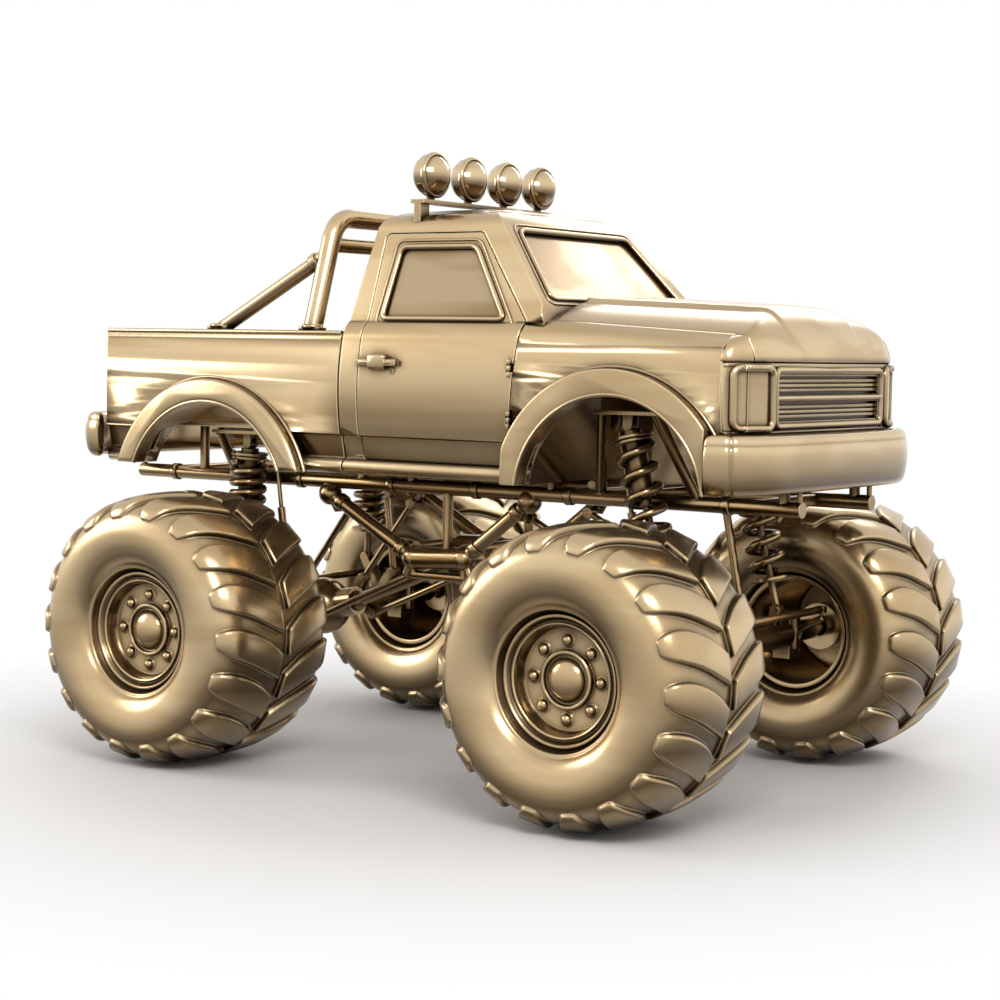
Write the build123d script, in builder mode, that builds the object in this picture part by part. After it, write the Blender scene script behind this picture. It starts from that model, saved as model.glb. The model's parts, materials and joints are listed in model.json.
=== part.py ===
from build123d import *
import os

os.makedirs("parts", exist_ok=True)

# A gold-finished monster truck: a regular-cab pickup body on a tubular frame with two
# steered axles, coil-over suspension and four tall lugged tyres.
# Millimetres. X forward, Y to the truck's left, Z up. The origin is on the ground,
# midway along and across the truck.

# Driving dimensions
wheelbase = 3050
front_axle_x = 1775
rear_axle_x = front_axle_x - wheelbase
track = 2700
wheel_y = track / 2
tyre_radius = 838
tyre_half_width = 520
axle_z = tyre_radius

panel_gap = 6.5
seat_gap = 0.3
run_fit = 0.05
overrun = 20

sides = [("left", 1), ("right", -1)]
ends = [("front", 1, front_axle_x), ("rear", -1, rear_axle_x)]


def save(builder, label):
    builder.part.label = label
    export_step(builder.part, f"parts/{label}.step")


def tube(start, end, radius, mode=Mode.ADD):
    """A round bar between two points."""
    run = Vector(*end) - Vector(*start)
    with Locations(Plane(origin=start, z_dir=run).location):
        Cylinder(
            radius,
            run.length,
            align=(Align.CENTER, Align.CENTER, Align.MIN),
            mode=mode,
        )


def flat_bar(start, end, thick, wide, mode=Mode.ADD):
    """A flat bar between two points, its thickness across the truck."""
    run = Vector(*end) - Vector(*start)
    with Locations(Plane(origin=start, x_dir=(0, 1, 0), z_dir=run).location):
        Box(
            thick,
            wide,
            run.length,
            align=(Align.CENTER, Align.CENTER, Align.MIN),
            mode=mode,
        )


def cross_pin(centre, radius, length, mode=Mode.ADD):
    """A round pin or boss that lies across the truck."""
    with Locations(centre):
        Cylinder(radius, length, rotation=(90, 0, 0), mode=mode)


def ball(centre, radius, mode=Mode.ADD):
    with Locations(centre):
        Sphere(radius, mode=mode)


def block(low, high, mode=Mode.ADD):
    """A box between two opposite corners."""
    size = [abs(b - a) for a, b in zip(low, high)]
    middle = [(a + b) / 2 for a, b in zip(low, high)]
    with Locations(tuple(middle)):
        Box(*size, mode=mode)


# Body cross-section, half of it, as (across, up): shared by cab, bed and front end
rocker_half = 930
sill_z = 1810
rocker_bulge = 985
rocker_mid_z = 1855
rocker_top_half = 945
rocker_top_z = 1905
band_half = 975
band_top_z = 2040
ridge_half = 1003
ridge_z = 2055
body_half = 1030
barrel_mid_z = 2330
barrel_top_half = 1000
barrel_top_z = 2620


def lower_section_edges():
    """The section's right-hand outline from the centre line up to the barrel's top."""
    Line((0, sill_z), (rocker_half, sill_z))
    ThreePointArc(
        (rocker_half, sill_z), (rocker_bulge, rocker_mid_z), (rocker_top_half, rocker_top_z)
    )
    Line((rocker_top_half, rocker_top_z), (band_half, band_top_z))
    Line((band_half, band_top_z), (ridge_half, ridge_z))
    ThreePointArc(
        (ridge_half, ridge_z), (body_half, barrel_mid_z), (barrel_top_half, barrel_top_z)
    )


# Cab: outer form, cavity, door openings, windscreen and rear window openings
cab_rear_x = -333
cab_front_x = 1000
cab_wall = 65
cab_floor_z = 1900
belt_z = 2745
belt_half = 925
shoulder_half = 975
shoulder_z = 2695
eave_half = 735
eave_z = 3310
eave_mid_half = 697
eave_mid_z = 3370
roof_edge_half = 620
roof_edge_z = 3398
roof_quarter_half = 310
roof_quarter_z = 3442
roof_z = 3455
screen_foot = (1050, 2850)
screen_head = (655, 3327)
roof_front_mid = (600, 3375)
roof_front = (500, 3420)
roof_peak = (150, 3468)
roof_rear = (-215, 3415)
back_head = (-272, 3320)
cowl_ledge_x = 1085
cowl_ledge_z = 2640
cowl_top_z = 2740
cowl_back = (1055, 2800)
post_half = 920
post_rear_x = 893.5

with BuildPart() as cab_form:
    with BuildSketch(Plane.XZ):
        with BuildLine():
            Polyline(
                back_head,
                (cab_rear_x, belt_z),
                (cab_rear_x, sill_z),
                (cab_front_x, sill_z),
                (cab_front_x, cowl_ledge_z),
                (cowl_ledge_x, cowl_ledge_z),
                (cowl_ledge_x, cowl_top_z),
                cowl_back,
                screen_foot,
                screen_head,
            )
            ThreePointArc(screen_head, roof_front_mid, roof_front)
            ThreePointArc(roof_front, roof_peak, roof_rear)
            Line(roof_rear, back_head)
        make_face()
    extrude(amount=body_half + overrun, both=True)
    with BuildSketch(Plane.YZ.offset(cab_rear_x - overrun)):
        with BuildLine():
            lower_section_edges()
            ThreePointArc(
                (barrel_top_half, barrel_top_z),
                (shoulder_half, shoulder_z),
                (belt_half, belt_z),
            )
            Line((belt_half, belt_z), (eave_half, eave_z))
            ThreePointArc(
                (eave_half, eave_z),
                (eave_mid_half, eave_mid_z),
                (roof_edge_half, roof_edge_z),
            )
            ThreePointArc(
                (roof_edge_half, roof_edge_z),
                (roof_quarter_half, roof_quarter_z),
                (0, roof_z),
            )
            Line((0, roof_z), (0, sill_z))
        make_face()
        mirror(about=Plane.YZ)
    extrude(amount=cowl_ledge_x - cab_rear_x + 2 * overrun, mode=Mode.INTERSECT)

firewall_x = 900
cavity_cowl = (945, 2800)
cavity_screen = (590, 3262)
cavity_roof_front = (480, 3350)
cavity_roof_rear = (-180, 3345)
cavity_back = (-205, 3300)

with BuildPart() as cab_cavity:
    with BuildSketch(Plane.XZ):
        Polygon(
            (cab_rear_x + cab_wall, cab_floor_z),
            (firewall_x, cab_floor_z),
            (firewall_x, belt_z),
            cavity_cowl,
            cavity_screen,
            cavity_roof_front,
            cavity_roof_rear,
            cavity_back,
            (cab_rear_x + cab_wall, belt_z),
            align=None,
        )
    extrude(amount=body_half, both=True)
    with BuildSketch(Plane.YZ.offset(cab_rear_x)):
        Polygon(
            (0, cab_floor_z),
            (rocker_half - cab_wall / 2, cab_floor_z),
            (body_half - cab_wall, barrel_mid_z),
            (barrel_top_half - cab_wall, barrel_top_z),
            (belt_half - cab_wall, belt_z),
            (eave_half - cab_wall, eave_z),
            (roof_edge_half - cab_wall, roof_edge_z - cab_wall),
            (0, roof_z - cab_wall),
            align=None,
        )
        mirror(about=Plane.YZ)
    extrude(amount=cowl_ledge_x - cab_rear_x, mode=Mode.INTERSECT)

# Doors: outline in X and Z, window, hinge line
door_rear_x = -190
door_foot_z = 1908
door_front_foot_x = 900
door_front_x = 958
door_head_front_x = 520
door_head_z = 3275
door_corner = 30
door_inner_y = 560
door_hinge_x = 915
door_hinge_y = 1024
door_outline = [
    (door_rear_x, door_foot_z),
    (door_front_foot_x, door_foot_z),
    (door_front_x, belt_z),
    (door_head_front_x, door_head_z),
    (door_rear_x, door_head_z),
]
window_outline = [
    (-90, 2762),
    (800, 2762),
    (500, 3190),
    (-55, 3190),
]
window_corner = 45
window_inset = 14
window_glass = 12
hinge_heights = [2180, 2480]
hinge_eye_radius = 15
hinge_pin_radius = 8
hinge_eye_half = 12
hinge_barrel_end = 48
hinge_leaf_half = 8
hinge_room = 13

screen_run = Vector(screen_head[0] - screen_foot[0], 0, screen_head[1] - screen_foot[1])
screen_plane = Plane(
    origin=((screen_foot[0] + screen_head[0]) / 2, 0, (screen_foot[1] + screen_head[1]) / 2),
    x_dir=(0, 1, 0),
    z_dir=Vector(0, 1, 0).cross(screen_run),
)
screen_half = screen_run.length / 2
screen_foot_half = 760
screen_head_half = 610
screen_margin = 45
screen_corner = 60
screen_glass = 14
screen_inset = 18
screen_outline = [
    (screen_foot_half, -(screen_half - screen_margin)),
    (screen_head_half, screen_half - screen_margin),
    (-screen_head_half, screen_half - screen_margin),
    (-screen_foot_half, -(screen_half - screen_margin)),
]
back_run = Vector(back_head[0] - cab_rear_x, 0, back_head[1] - belt_z)
back_plane = Plane(
    origin=((back_head[0] + cab_rear_x) / 2, 0, (back_head[1] + belt_z) / 2),
    x_dir=(0, -1, 0),
    z_dir=Vector(0, -1, 0).cross(back_run),
)
back_window_width = 1150
back_window_height = 400
back_window_corner = 60

post_gap = 12

with BuildPart() as cab_blank:
    add(cab_form.part)
    add(cab_cavity.part, mode=Mode.SUBTRACT)

# Each door's space in the cab's side, and the door's own outline a gap smaller
door_voids = {}
door_prisms = {}
for name, side in sides:
    for table, margin in ((door_voids, panel_gap), (door_prisms, 0)):
        with BuildPart() as space:
            with BuildSketch(Plane.XZ.offset(-side * door_inner_y)):
                Polygon(*door_outline, align=None)
                fillet(vertices(), door_corner)
                if margin:
                    offset(amount=margin)
            extrude(amount=-side * (body_half + overrun - door_inner_y))
            block(
                (post_rear_x + margin, 0, sill_z),
                (cowl_ledge_x, side * (post_half + post_gap - margin), belt_z),
                mode=Mode.SUBTRACT,
            )
        table[name] = space.part

with BuildPart() as cab_shell:
    add(cab_blank.part)
    for name, side in sides:
        block(
            (post_rear_x + panel_gap, side * post_half, sill_z - overrun),
            (cowl_ledge_x + overrun, side * (body_half + overrun), belt_z),
            mode=Mode.SUBTRACT,
        )
        add(door_voids[name], mode=Mode.SUBTRACT)
        for height in hinge_heights:
            with Locations((door_hinge_x, side * door_hinge_y, height)):
                Cylinder(hinge_eye_radius, 2 * hinge_eye_half)
            block(
                (
                    door_hinge_x - hinge_leaf_half,
                    side * (post_half - overrun),
                    height - hinge_eye_half,
                ),
                (
                    door_hinge_x + hinge_leaf_half,
                    side * door_hinge_y,
                    height + hinge_eye_half,
                ),
            )
            with Locations((door_hinge_x, side * door_hinge_y, height)):
                Cylinder(hinge_pin_radius + run_fit, 3 * hinge_eye_half, mode=Mode.SUBTRACT)
    with BuildSketch(screen_plane.offset(-2 * cab_wall)):
        Polygon(*screen_outline, align=None)
        fillet(vertices(), screen_corner)
    extrude(amount=3 * cab_wall, mode=Mode.SUBTRACT)
    with BuildSketch(back_plane.offset(-2 * cab_wall)):
        RectangleRounded(back_window_width, back_window_height, back_window_corner)
    extrude(amount=3 * cab_wall, mode=Mode.SUBTRACT)
save(cab_shell, "cab_shell")

with BuildPart() as windscreen:
    with BuildSketch(screen_plane.offset(-screen_inset)):
        Polygon(*screen_outline, align=None)
        fillet(vertices(), screen_corner)
    extrude(amount=-screen_glass)
save(windscreen, "windscreen")

with BuildPart() as rear_window:
    with BuildSketch(back_plane.offset(-screen_inset)):
        RectangleRounded(back_window_width, back_window_height, back_window_corner)
    extrude(amount=-screen_glass)
save(rear_window, "rear_window")

# Doors: the cab's own skin inside the outline, opened for the window, on two hinge pins.
# The rear edge is turned about the hinge line, so it swings clear of the pillar.
handle_back = 1010
handle_face = 1056
handle_bar_low = (-190, 2478)
handle_bar_high = (110, 2512)
handle_pad_low = (-95, 2455)
handle_pad_high = (30, 2540)
swing_low = 1105.5
swing_belt = 1109
swing_head = 1143
lean = Vector(0, eave_half - belt_half, eave_z - belt_z)

for name, side in sides:
    with BuildPart() as door:
        add(cab_blank.part)
        add(door_prisms[name], mode=Mode.INTERSECT)
        with BuildSketch(Plane.XZ.offset(-side * door_hinge_y)):
            Polygon(
                (door_hinge_x, sill_z),
                (door_hinge_x + swing_low, sill_z),
                (door_hinge_x + swing_low, barrel_top_z),
                (door_hinge_x + swing_belt, belt_z),
                (door_hinge_x + swing_head, door_head_z + overrun),
                (door_hinge_x, door_head_z + overrun),
                align=None,
            )
        revolve(
            axis=Axis((door_hinge_x, side * door_hinge_y, 0), (0, 0, 1)),
            mode=Mode.INTERSECT,
        )
        with BuildSketch(Plane.XZ.offset(-side * door_inner_y)):
            Polygon(*window_outline, align=None)
            fillet(vertices(), window_corner)
        extrude(amount=-side * body_half, mode=Mode.SUBTRACT)
        for height in hinge_heights:
            block(
                (
                    door_hinge_x - hinge_leaf_half - hinge_room,
                    side * (post_half - overrun),
                    height - hinge_eye_half - hinge_room,
                ),
                (
                    door_front_x + overrun,
                    side * (body_half + overrun),
                    height + hinge_eye_half + hinge_room,
                ),
                mode=Mode.SUBTRACT,
            )
            barrel = hinge_barrel_end - hinge_eye_half - hinge_room
            for turn in (1, -1):
                centre_z = height + turn * (hinge_barrel_end - barrel / 2)
                with Locations((door_hinge_x, side * door_hinge_y, centre_z)):
                    Cylinder(hinge_eye_radius, barrel)
            with Locations((door_hinge_x, side * door_hinge_y, height)):
                Cylinder(hinge_pin_radius, 2 * hinge_barrel_end - barrel)
        block(
            (handle_bar_low[0], side * handle_back, handle_bar_low[1]),
            (handle_bar_high[0], side * handle_face, handle_bar_high[1]),
        )
        block(
            (handle_pad_low[0], side * handle_back, handle_pad_low[1]),
            (handle_pad_high[0], side * handle_face, handle_pad_high[1]),
        )
    save(door, f"door_{name}")
    glass_plane = Plane(
        origin=(0, side * (belt_half + eave_half) / 2, (belt_z + eave_z) / 2),
        x_dir=(1, 0, 0),
        z_dir=(0, side * lean.Z, -lean.Y),
    )
    with BuildPart() as door_glass:
        with BuildSketch(Plane.XZ.offset(-side * door_inner_y)):
            Polygon(*window_outline, align=None)
            fillet(vertices(), window_corner)
        extrude(amount=-side * body_half)
        with Locations(glass_plane.offset(-window_inset).location):
            Box(
                2 * cowl_ledge_x,
                2 * (eave_z - belt_z),
                window_glass,
                align=(Align.CENTER, Align.CENTER, Align.MAX),
                mode=Mode.INTERSECT,
            )
    save(door_glass, f"door_glass_{name}")

# Front end: one form for the hood, the fenders and the front panel
clip_rear_x = 880
nose_x = 2465
hood_edge = 865
crown_rear = [(belt_half, belt_z), (560, 2882), (0, 2925)]
crown_front = [(belt_half, 2650), (560, 2800), (0, 2845)]
shoulder_front = (965, 2635)
lip_z = 2540
nose_roll = [(2150, 2960), (2395, 2790), (nose_x, 2600)]
plan_corner = [(2290, body_half + 2 * overrun), (2340, 1005), (2412, 880), (2450, 690)]

with BuildPart() as clip_form:
    for x, crown, shoulder in (
        (clip_rear_x, crown_rear, (shoulder_half, shoulder_z)),
        (nose_x + overrun, crown_front, shoulder_front),
    ):
        with BuildSketch(Plane.YZ.offset(x)):
            with BuildLine():
                lower_section_edges()
                ThreePointArc((barrel_top_half, barrel_top_z), shoulder, crown[0])
                ThreePointArc(*crown)
                Line(crown[2], (0, sill_z))
            make_face()
            mirror(about=Plane.YZ)
    loft(ruled=True)
    with BuildSketch(Plane.XZ):
        with BuildLine():
            Polyline(
                nose_roll[2],
                (nose_x, sill_z - overrun),
                (clip_rear_x - overrun, sill_z - overrun),
                (clip_rear_x - overrun, nose_roll[0][1]),
                nose_roll[0],
            )
            ThreePointArc(*nose_roll)
        make_face()
    extrude(amount=body_half + overrun, both=True, mode=Mode.INTERSECT)
    with BuildSketch(Plane.XY.offset(sill_z - overrun)):
        with BuildLine():
            Polyline(
                plan_corner[3],
                (nose_x, 0),
                (clip_rear_x - overrun, 0),
                (clip_rear_x - overrun, body_half + 2 * overrun),
                plan_corner[0],
                plan_corner[1],
            )
            ThreePointArc(*plan_corner[1:])
        make_face()
        mirror(about=Plane.XZ)
    extrude(amount=nose_roll[0][1] - sill_z + overrun, mode=Mode.INTERSECT)

# Hood: a bowed lid hinged at the cowl
hood_rear_x = 1100
hood_skin = 42
hood_hinge_x = 1130
hood_hinge_z = 2842
hood_hinge_y = 250
hood_lug_half = 14
hood_lug_radius = 22
hood_pin_radius = 9
hood_eye_half = 10
hood_gap = 6

with BuildPart() as hood:
    add(clip_form.part)
    block(
        (hood_rear_x, -(hood_edge - hood_gap / 2), lip_z),
        (nose_x + overrun, hood_edge - hood_gap / 2, roof_z),
        mode=Mode.INTERSECT,
    )
    with Locations((-hood_skin, 0, -hood_skin)):
        add(clip_form.part, mode=Mode.SUBTRACT)
    for name, side in sides:
        with Locations((hood_hinge_x, side * hood_hinge_y, hood_hinge_z)):
            Cylinder(hood_lug_radius, 2 * hood_lug_half, rotation=(90, 0, 0))
            Box(
                2 * hood_lug_radius,
                2 * hood_lug_half,
                hood_skin,
                align=(Align.CENTER, Align.CENTER, Align.MIN),
            )
            Cylinder(
                hood_pin_radius,
                2 * (hood_lug_half + 3 * hood_eye_half),
                rotation=(90, 0, 0),
            )
save(hood, "hood")

with BuildPart() as hood_hinges:
    for name, side in sides:
        for turn in (1, -1):
            across = side * hood_hinge_y + turn * (hood_lug_half + 2 * hood_eye_half)
            with Locations((hood_hinge_x, across, hood_hinge_z)):
                Cylinder(hood_lug_radius, 2 * hood_eye_half, rotation=(90, 0, 0))
            with BuildSketch(Plane.XZ.offset(-(across - hood_eye_half))):
                Polygon(
                    (hood_hinge_x, hood_hinge_z + hood_lug_radius / 2),
                    (hood_hinge_x + hood_lug_radius / 2, hood_hinge_z - hood_lug_radius / 2),
                    (cowl_ledge_x + 2 * overrun, cowl_ledge_z),
                    (cowl_ledge_x, cowl_ledge_z),
                    (cowl_ledge_x, cowl_top_z),
                    align=None,
                )
            extrude(amount=-2 * hood_eye_half)
            with Locations((hood_hinge_x, across, hood_hinge_z)):
                Cylinder(
                    hood_pin_radius + run_fit,
                    3 * hood_eye_half,
                    rotation=(90, 0, 0),
                    mode=Mode.SUBTRACT,
                )
save(hood_hinges, "hood_hinges")

# Fenders: outer skins with round arches and raised flares
arch_front = (1620, 1724, 616)
arch_rear = (-1380, 1564, 656)
flare_width = 150
flare_back = 985
flare_face = 1095
flare_front_x = 2240
fender_inner = 940
fender_top_z = 2640
fender_front_x = 2300
fender_tab = (960, 1040)
fender_tab_heights = [2000, 2500]
tab_size = 60


def flare(arch, side):
    """A raised ring round a wheel arch."""
    x, z, radius = arch
    depth = flare_face - flare_back
    with Locations((x, side * (flare_back + depth / 2), z)):
        Cylinder(radius + flare_width, depth, rotation=(90, 0, 0))


def arch_cut(arch, side, inner, outer):
    """The round opening of a wheel arch, from inner to outer across the truck."""
    x, z, radius = arch
    with Locations((x, side * (inner + outer) / 2, z)):
        Cylinder(radius, outer - inner, rotation=(90, 0, 0), mode=Mode.SUBTRACT)


with BuildPart() as fenders:
    add(clip_form.part)
    block(
        (clip_rear_x - overrun, -fender_inner, sill_z - overrun),
        (nose_x + overrun, fender_inner, fender_top_z),
        mode=Mode.SUBTRACT,
    )
    block(
        (clip_rear_x - overrun, -(hood_edge + hood_gap / 2), sill_z - overrun),
        (nose_x + overrun, hood_edge + hood_gap / 2, roof_z),
        mode=Mode.SUBTRACT,
    )
    block(
        (clip_rear_x - overrun, -fender_inner, sill_z - overrun),
        (hood_rear_x, fender_inner, roof_z),
        mode=Mode.SUBTRACT,
    )
    block(
        (fender_front_x, -(body_half + overrun), sill_z - overrun),
        (nose_x + overrun, body_half + overrun, roof_z),
        mode=Mode.SUBTRACT,
    )
    for name, side in sides:
        flare(arch_front, side)
        block(
            (flare_front_x, side * (body_half + seat_gap), sill_z - overrun),
            (nose_x + overrun, side * (flare_face + overrun), roof_z),
            mode=Mode.SUBTRACT,
        )
        block(
            (fender_front_x, side * fender_inner, sill_z - overrun),
            (nose_x + overrun, side * (flare_face + overrun), roof_z),
            mode=Mode.SUBTRACT,
        )
    for name, side in sides:
        arch_cut(arch_front, side, fender_inner - overrun, flare_face + overrun)
        block(
            (arch_front[0] - arch_front[2] - 2 * flare_width, side * (fender_inner - overrun), 0),
            (nose_x, side * (flare_face + overrun), sill_z),
            mode=Mode.SUBTRACT,
        )
    with BuildSketch(Plane.XZ):
        Polygon(
            (clip_rear_x - 2 * overrun, sill_z - 2 * overrun),
            (door_front_foot_x + panel_gap, sill_z - 2 * overrun),
            (door_front_foot_x + panel_gap, door_foot_z),
            (door_front_x + panel_gap, belt_z),
            (door_front_x + panel_gap, roof_z),
            (clip_rear_x - 2 * overrun, roof_z),
            align=None,
        )
    extrude(amount=flare_face + overrun, both=True, mode=Mode.SUBTRACT)
    for name, side in sides:
        for height in hinge_heights:
            with Locations((door_hinge_x, side * door_hinge_y, height)):
                Cylinder(
                    hinge_eye_radius + hinge_room,
                    2 * (hinge_barrel_end + hinge_room),
                    mode=Mode.SUBTRACT,
                )
        for height in fender_tab_heights:
            block(
                (fender_tab[0] + overrun, side * post_half, height),
                (fender_tab[1], side * (fender_inner + overrun), height + tab_size),
            )
save(fenders, "fenders")

# Front panel with its lamp and grille recesses
panel_back_x = 2365
recess_low_z = 2165
recess_high_z = 2515
recess_floor_x = 2395
lamp_recess_floor_x = 2310
grille_half = 690
lamp_inner = 715
fit_gap = 5

with BuildPart() as front_panel:
    add(clip_form.part)
    block(
        (fender_front_x, -(body_half + overrun), sill_z - overrun),
        (nose_x + overrun, body_half + overrun, lip_z - hood_gap),
        mode=Mode.INTERSECT,
    )
    block(
        (fender_front_x - overrun, -lamp_inner, sill_z - overrun),
        (panel_back_x, lamp_inner, roof_z),
        mode=Mode.SUBTRACT,
    )
    block(
        (recess_floor_x, -(grille_half + fit_gap), recess_low_z),
        (nose_x + overrun, grille_half + fit_gap, recess_high_z),
        mode=Mode.SUBTRACT,
    )
    for name, side in sides:
        block(
            (lamp_recess_floor_x, side * lamp_inner, recess_low_z),
            (nose_x + overrun, side * (body_half + overrun), recess_high_z),
            mode=Mode.SUBTRACT,
        )
save(front_panel, "front_panel")

with BuildPart() as headlamps:
    add(clip_form.part)
    block(
        (lamp_recess_floor_x, -(body_half + overrun), recess_low_z + fit_gap),
        (nose_x + overrun, body_half + overrun, recess_high_z - fit_gap),
        mode=Mode.INTERSECT,
    )
    block(
        (fender_front_x - overrun, -(lamp_inner + fit_gap), recess_low_z),
        (nose_x + overrun, lamp_inner + fit_gap, recess_high_z),
        mode=Mode.SUBTRACT,
    )
save(headlamps, "headlamps")

# Grille: a framed panel with two wide windows and thin bars across them
grille_depth = 52
grille_rim = 45
grille_mid_bar = 40
grille_corner = 40
louvre_height = 16
louvre_count = 3
grille_high = recess_high_z - recess_low_z - 2 * fit_gap
grille_z = (recess_high_z + recess_low_z) / 2
window_high = (grille_high - 2 * grille_rim - grille_mid_bar) / 2
window_rise = (window_high + grille_mid_bar) / 2
grille_web = 14

with BuildPart() as grille:
    with BuildSketch(Plane.YZ.offset(recess_floor_x)):
        with Locations((0, grille_z)):
            RectangleRounded(2 * grille_half, grille_high, grille_corner)
    extrude(amount=grille_depth)
    with BuildSketch(Plane.YZ.offset(recess_floor_x + grille_web)):
        with Locations((0, grille_z - window_rise), (0, grille_z + window_rise)):
            RectangleRounded(2 * (grille_half - grille_rim), window_high, grille_corner / 2)
    extrude(amount=grille_depth, mode=Mode.SUBTRACT)
    with BuildSketch(Plane.YZ.offset(recess_floor_x)):
        for rise in (-window_rise, window_rise):
            with Locations((0, grille_z + rise)):
                with GridLocations(0, window_high / (louvre_count + 1), 1, louvre_count):
                    Rectangle(2 * (grille_half - grille_rim), louvre_height)
    extrude(amount=grille_depth - grille_web)
save(grille, "grille")

# Bumpers: thick rounded bars that wrap round the corners
front_bumper_plan = [(2250, 1125), (2390, 1110), (2520, 940), (2562, 700), (2577, 0)]
front_bumper_back = [(2250, 1042), (2345, 1042), (2432, 892), (2464, 690), (2474, 0)]
rear_reach_x = -(front_axle_x + tyre_radius)
rear_bumper_plan = [(-2350, 1060), (-2450, 1055), (-2560, 960), (-2594, 760), (rear_reach_x, 0)]
rear_bumper_back = [(-2350, 985), (-2390, 975), (-2445, 890), (-2468, 760), (-2474, 0)]
bumper_low_z = 1830
bumper_high_z = 2130
bumper_round = 30

for label, plan, back in (
    ("front_bumper", front_bumper_plan, front_bumper_back),
    ("rear_bumper", rear_bumper_plan, rear_bumper_back),
):
    with BuildPart() as bumper:
        with BuildSketch(Plane.XY.offset(bumper_low_z)):
            with BuildLine():
                for curve in (plan, back):
                    Line(curve[0], curve[1])
                    ThreePointArc(*curve[1:4])
                    Line(curve[3], curve[4])
                Line(plan[0], back[0])
                Line(plan[4], back[4])
            make_face()
            mirror(about=Plane.XZ)
        extrude(amount=bumper_high_z - bumper_low_z)
    save(bumper, label)

# Bed: double-walled sides on the shared section, a floor, a front wall and wheel tubs
bed_front_x = -345
bed_rear_x = -2330
rail_z = 2680
rail_top_half = 955
rail_round = (988, 2662)
bed_inner_half = 875
bed_floor_z = 2100
bed_floor_low_z = 2050
bed_wall = 60
bed_corner = 80
tub_inner = 700
tub_skin = 40
gate_half = 800
gate_low_z = 2165
gate_high_z = 2665
gate_thick = 60
gate_gap = 6
gate_pin_radius = 12
gate_pin_half = 30
gate_axis_x = bed_rear_x + gate_thick / 2
gate_axis_z = gate_low_z + gate_thick / 2

with BuildPart() as bed:
    with BuildSketch(Plane.YZ.offset(bed_rear_x)):
        with BuildLine():
            lower_section_edges()
            ThreePointArc(
                (barrel_top_half, barrel_top_z), rail_round, (rail_top_half, rail_z)
            )
            Line((rail_top_half, rail_z), (0, rail_z))
            Line((0, rail_z), (0, sill_z))
        make_face()
        mirror(about=Plane.YZ)
    extrude(amount=bed_front_x - bed_rear_x)
    with BuildSketch(Plane.XY.offset(sill_z)):
        with Locations(((bed_rear_x + bed_front_x) / 2 + bed_corner, 0)):
            Rectangle(bed_front_x - bed_rear_x + 2 * bed_corner, 2 * (body_half + overrun))
        fillet(vertices().group_by(Axis.X)[0], bed_corner + overrun)
    extrude(amount=rail_z - sill_z, mode=Mode.INTERSECT)
    for name, side in sides:
        flare(arch_rear, side)
    block(
        (bed_rear_x + bed_wall, -bed_inner_half, bed_floor_z),
        (bed_front_x - bed_wall, bed_inner_half, rail_z + overrun),
        mode=Mode.SUBTRACT,
    )
    block(
        (bed_rear_x - overrun, -gate_half - gate_gap, gate_low_z - gate_gap),
        (bed_rear_x + bed_wall + overrun, gate_half + gate_gap, rail_z + overrun),
        mode=Mode.SUBTRACT,
    )
    block(
        (bed_rear_x - overrun, -bed_inner_half, sill_z - overrun),
        (bed_front_x + overrun, bed_inner_half, bed_floor_low_z),
        mode=Mode.SUBTRACT,
    )
    for name, side in sides:
        x, z, radius = arch_rear
        with BuildSketch(Plane.XZ.offset(-side * tub_inner)):
            with Locations((x, z)):
                Circle(radius + tub_skin)
            with Locations((x, bed_floor_low_z)):
                Rectangle(
                    3 * radius,
                    radius,
                    align=(Align.CENTER, Align.MIN),
                    mode=Mode.INTERSECT,
                )
        extrude(amount=-side * (bed_inner_half + overrun - tub_inner))
        arch_cut(
            arch_rear,
            side,
            tub_inner + tub_skin,
            flare_face + overrun,
        )
        block(
            (x - 2 * radius, side * (tub_inner + tub_skin), 0),
            (x + 2 * radius, side * (flare_face + overrun), sill_z),
            mode=Mode.SUBTRACT,
        )
        with Locations((gate_axis_x, side * (gate_half + gate_gap), gate_axis_z)):
            Cylinder(
                gate_pin_radius + run_fit,
                2 * (gate_pin_half + gate_gap),
                rotation=(90, 0, 0),
                mode=Mode.SUBTRACT,
            )
save(bed, "bed")

with BuildPart() as tailgate:
    block(
        (bed_rear_x, -gate_half, gate_low_z),
        (bed_rear_x + gate_thick, gate_half, gate_high_z),
    )
    fillet(tailgate.edges().filter_by(Axis.Y).group_by(Axis.Z)[0], gate_thick / 2 - seat_gap)
    with Locations((gate_axis_x, 0, gate_axis_z)):
        Cylinder(
            gate_pin_radius, 2 * (gate_half + gate_gap + gate_pin_half), rotation=(90, 0, 0)
        )
save(tailgate, "tailgate")

# Tail lamps on the bed's rear corners
tail_lamp = (815, 900, 2260, 2600)
tail_lamp_depth = 12

with BuildPart() as tail_lamps:
    for name, side in sides:
        inner, outer, low, high = tail_lamp
        block(
            (bed_rear_x - tail_lamp_depth, side * inner, low),
            (bed_rear_x, side * outer, high),
        )
save(tail_lamps, "tail_lamps")

# Roll bar over the bed, leaning in with the cab
bar_radius = 62
bar_foot = (-640, 915)
bar_top = (-610, 735)
bar_top_z = 3385
brace_foot_x = -1400
brace_meet_share = 0.68
brace_low_drop = 170
foot_plate = 12
foot_plate_half = 80
foot_plate_across = 40
brace_radius = 45

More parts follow.
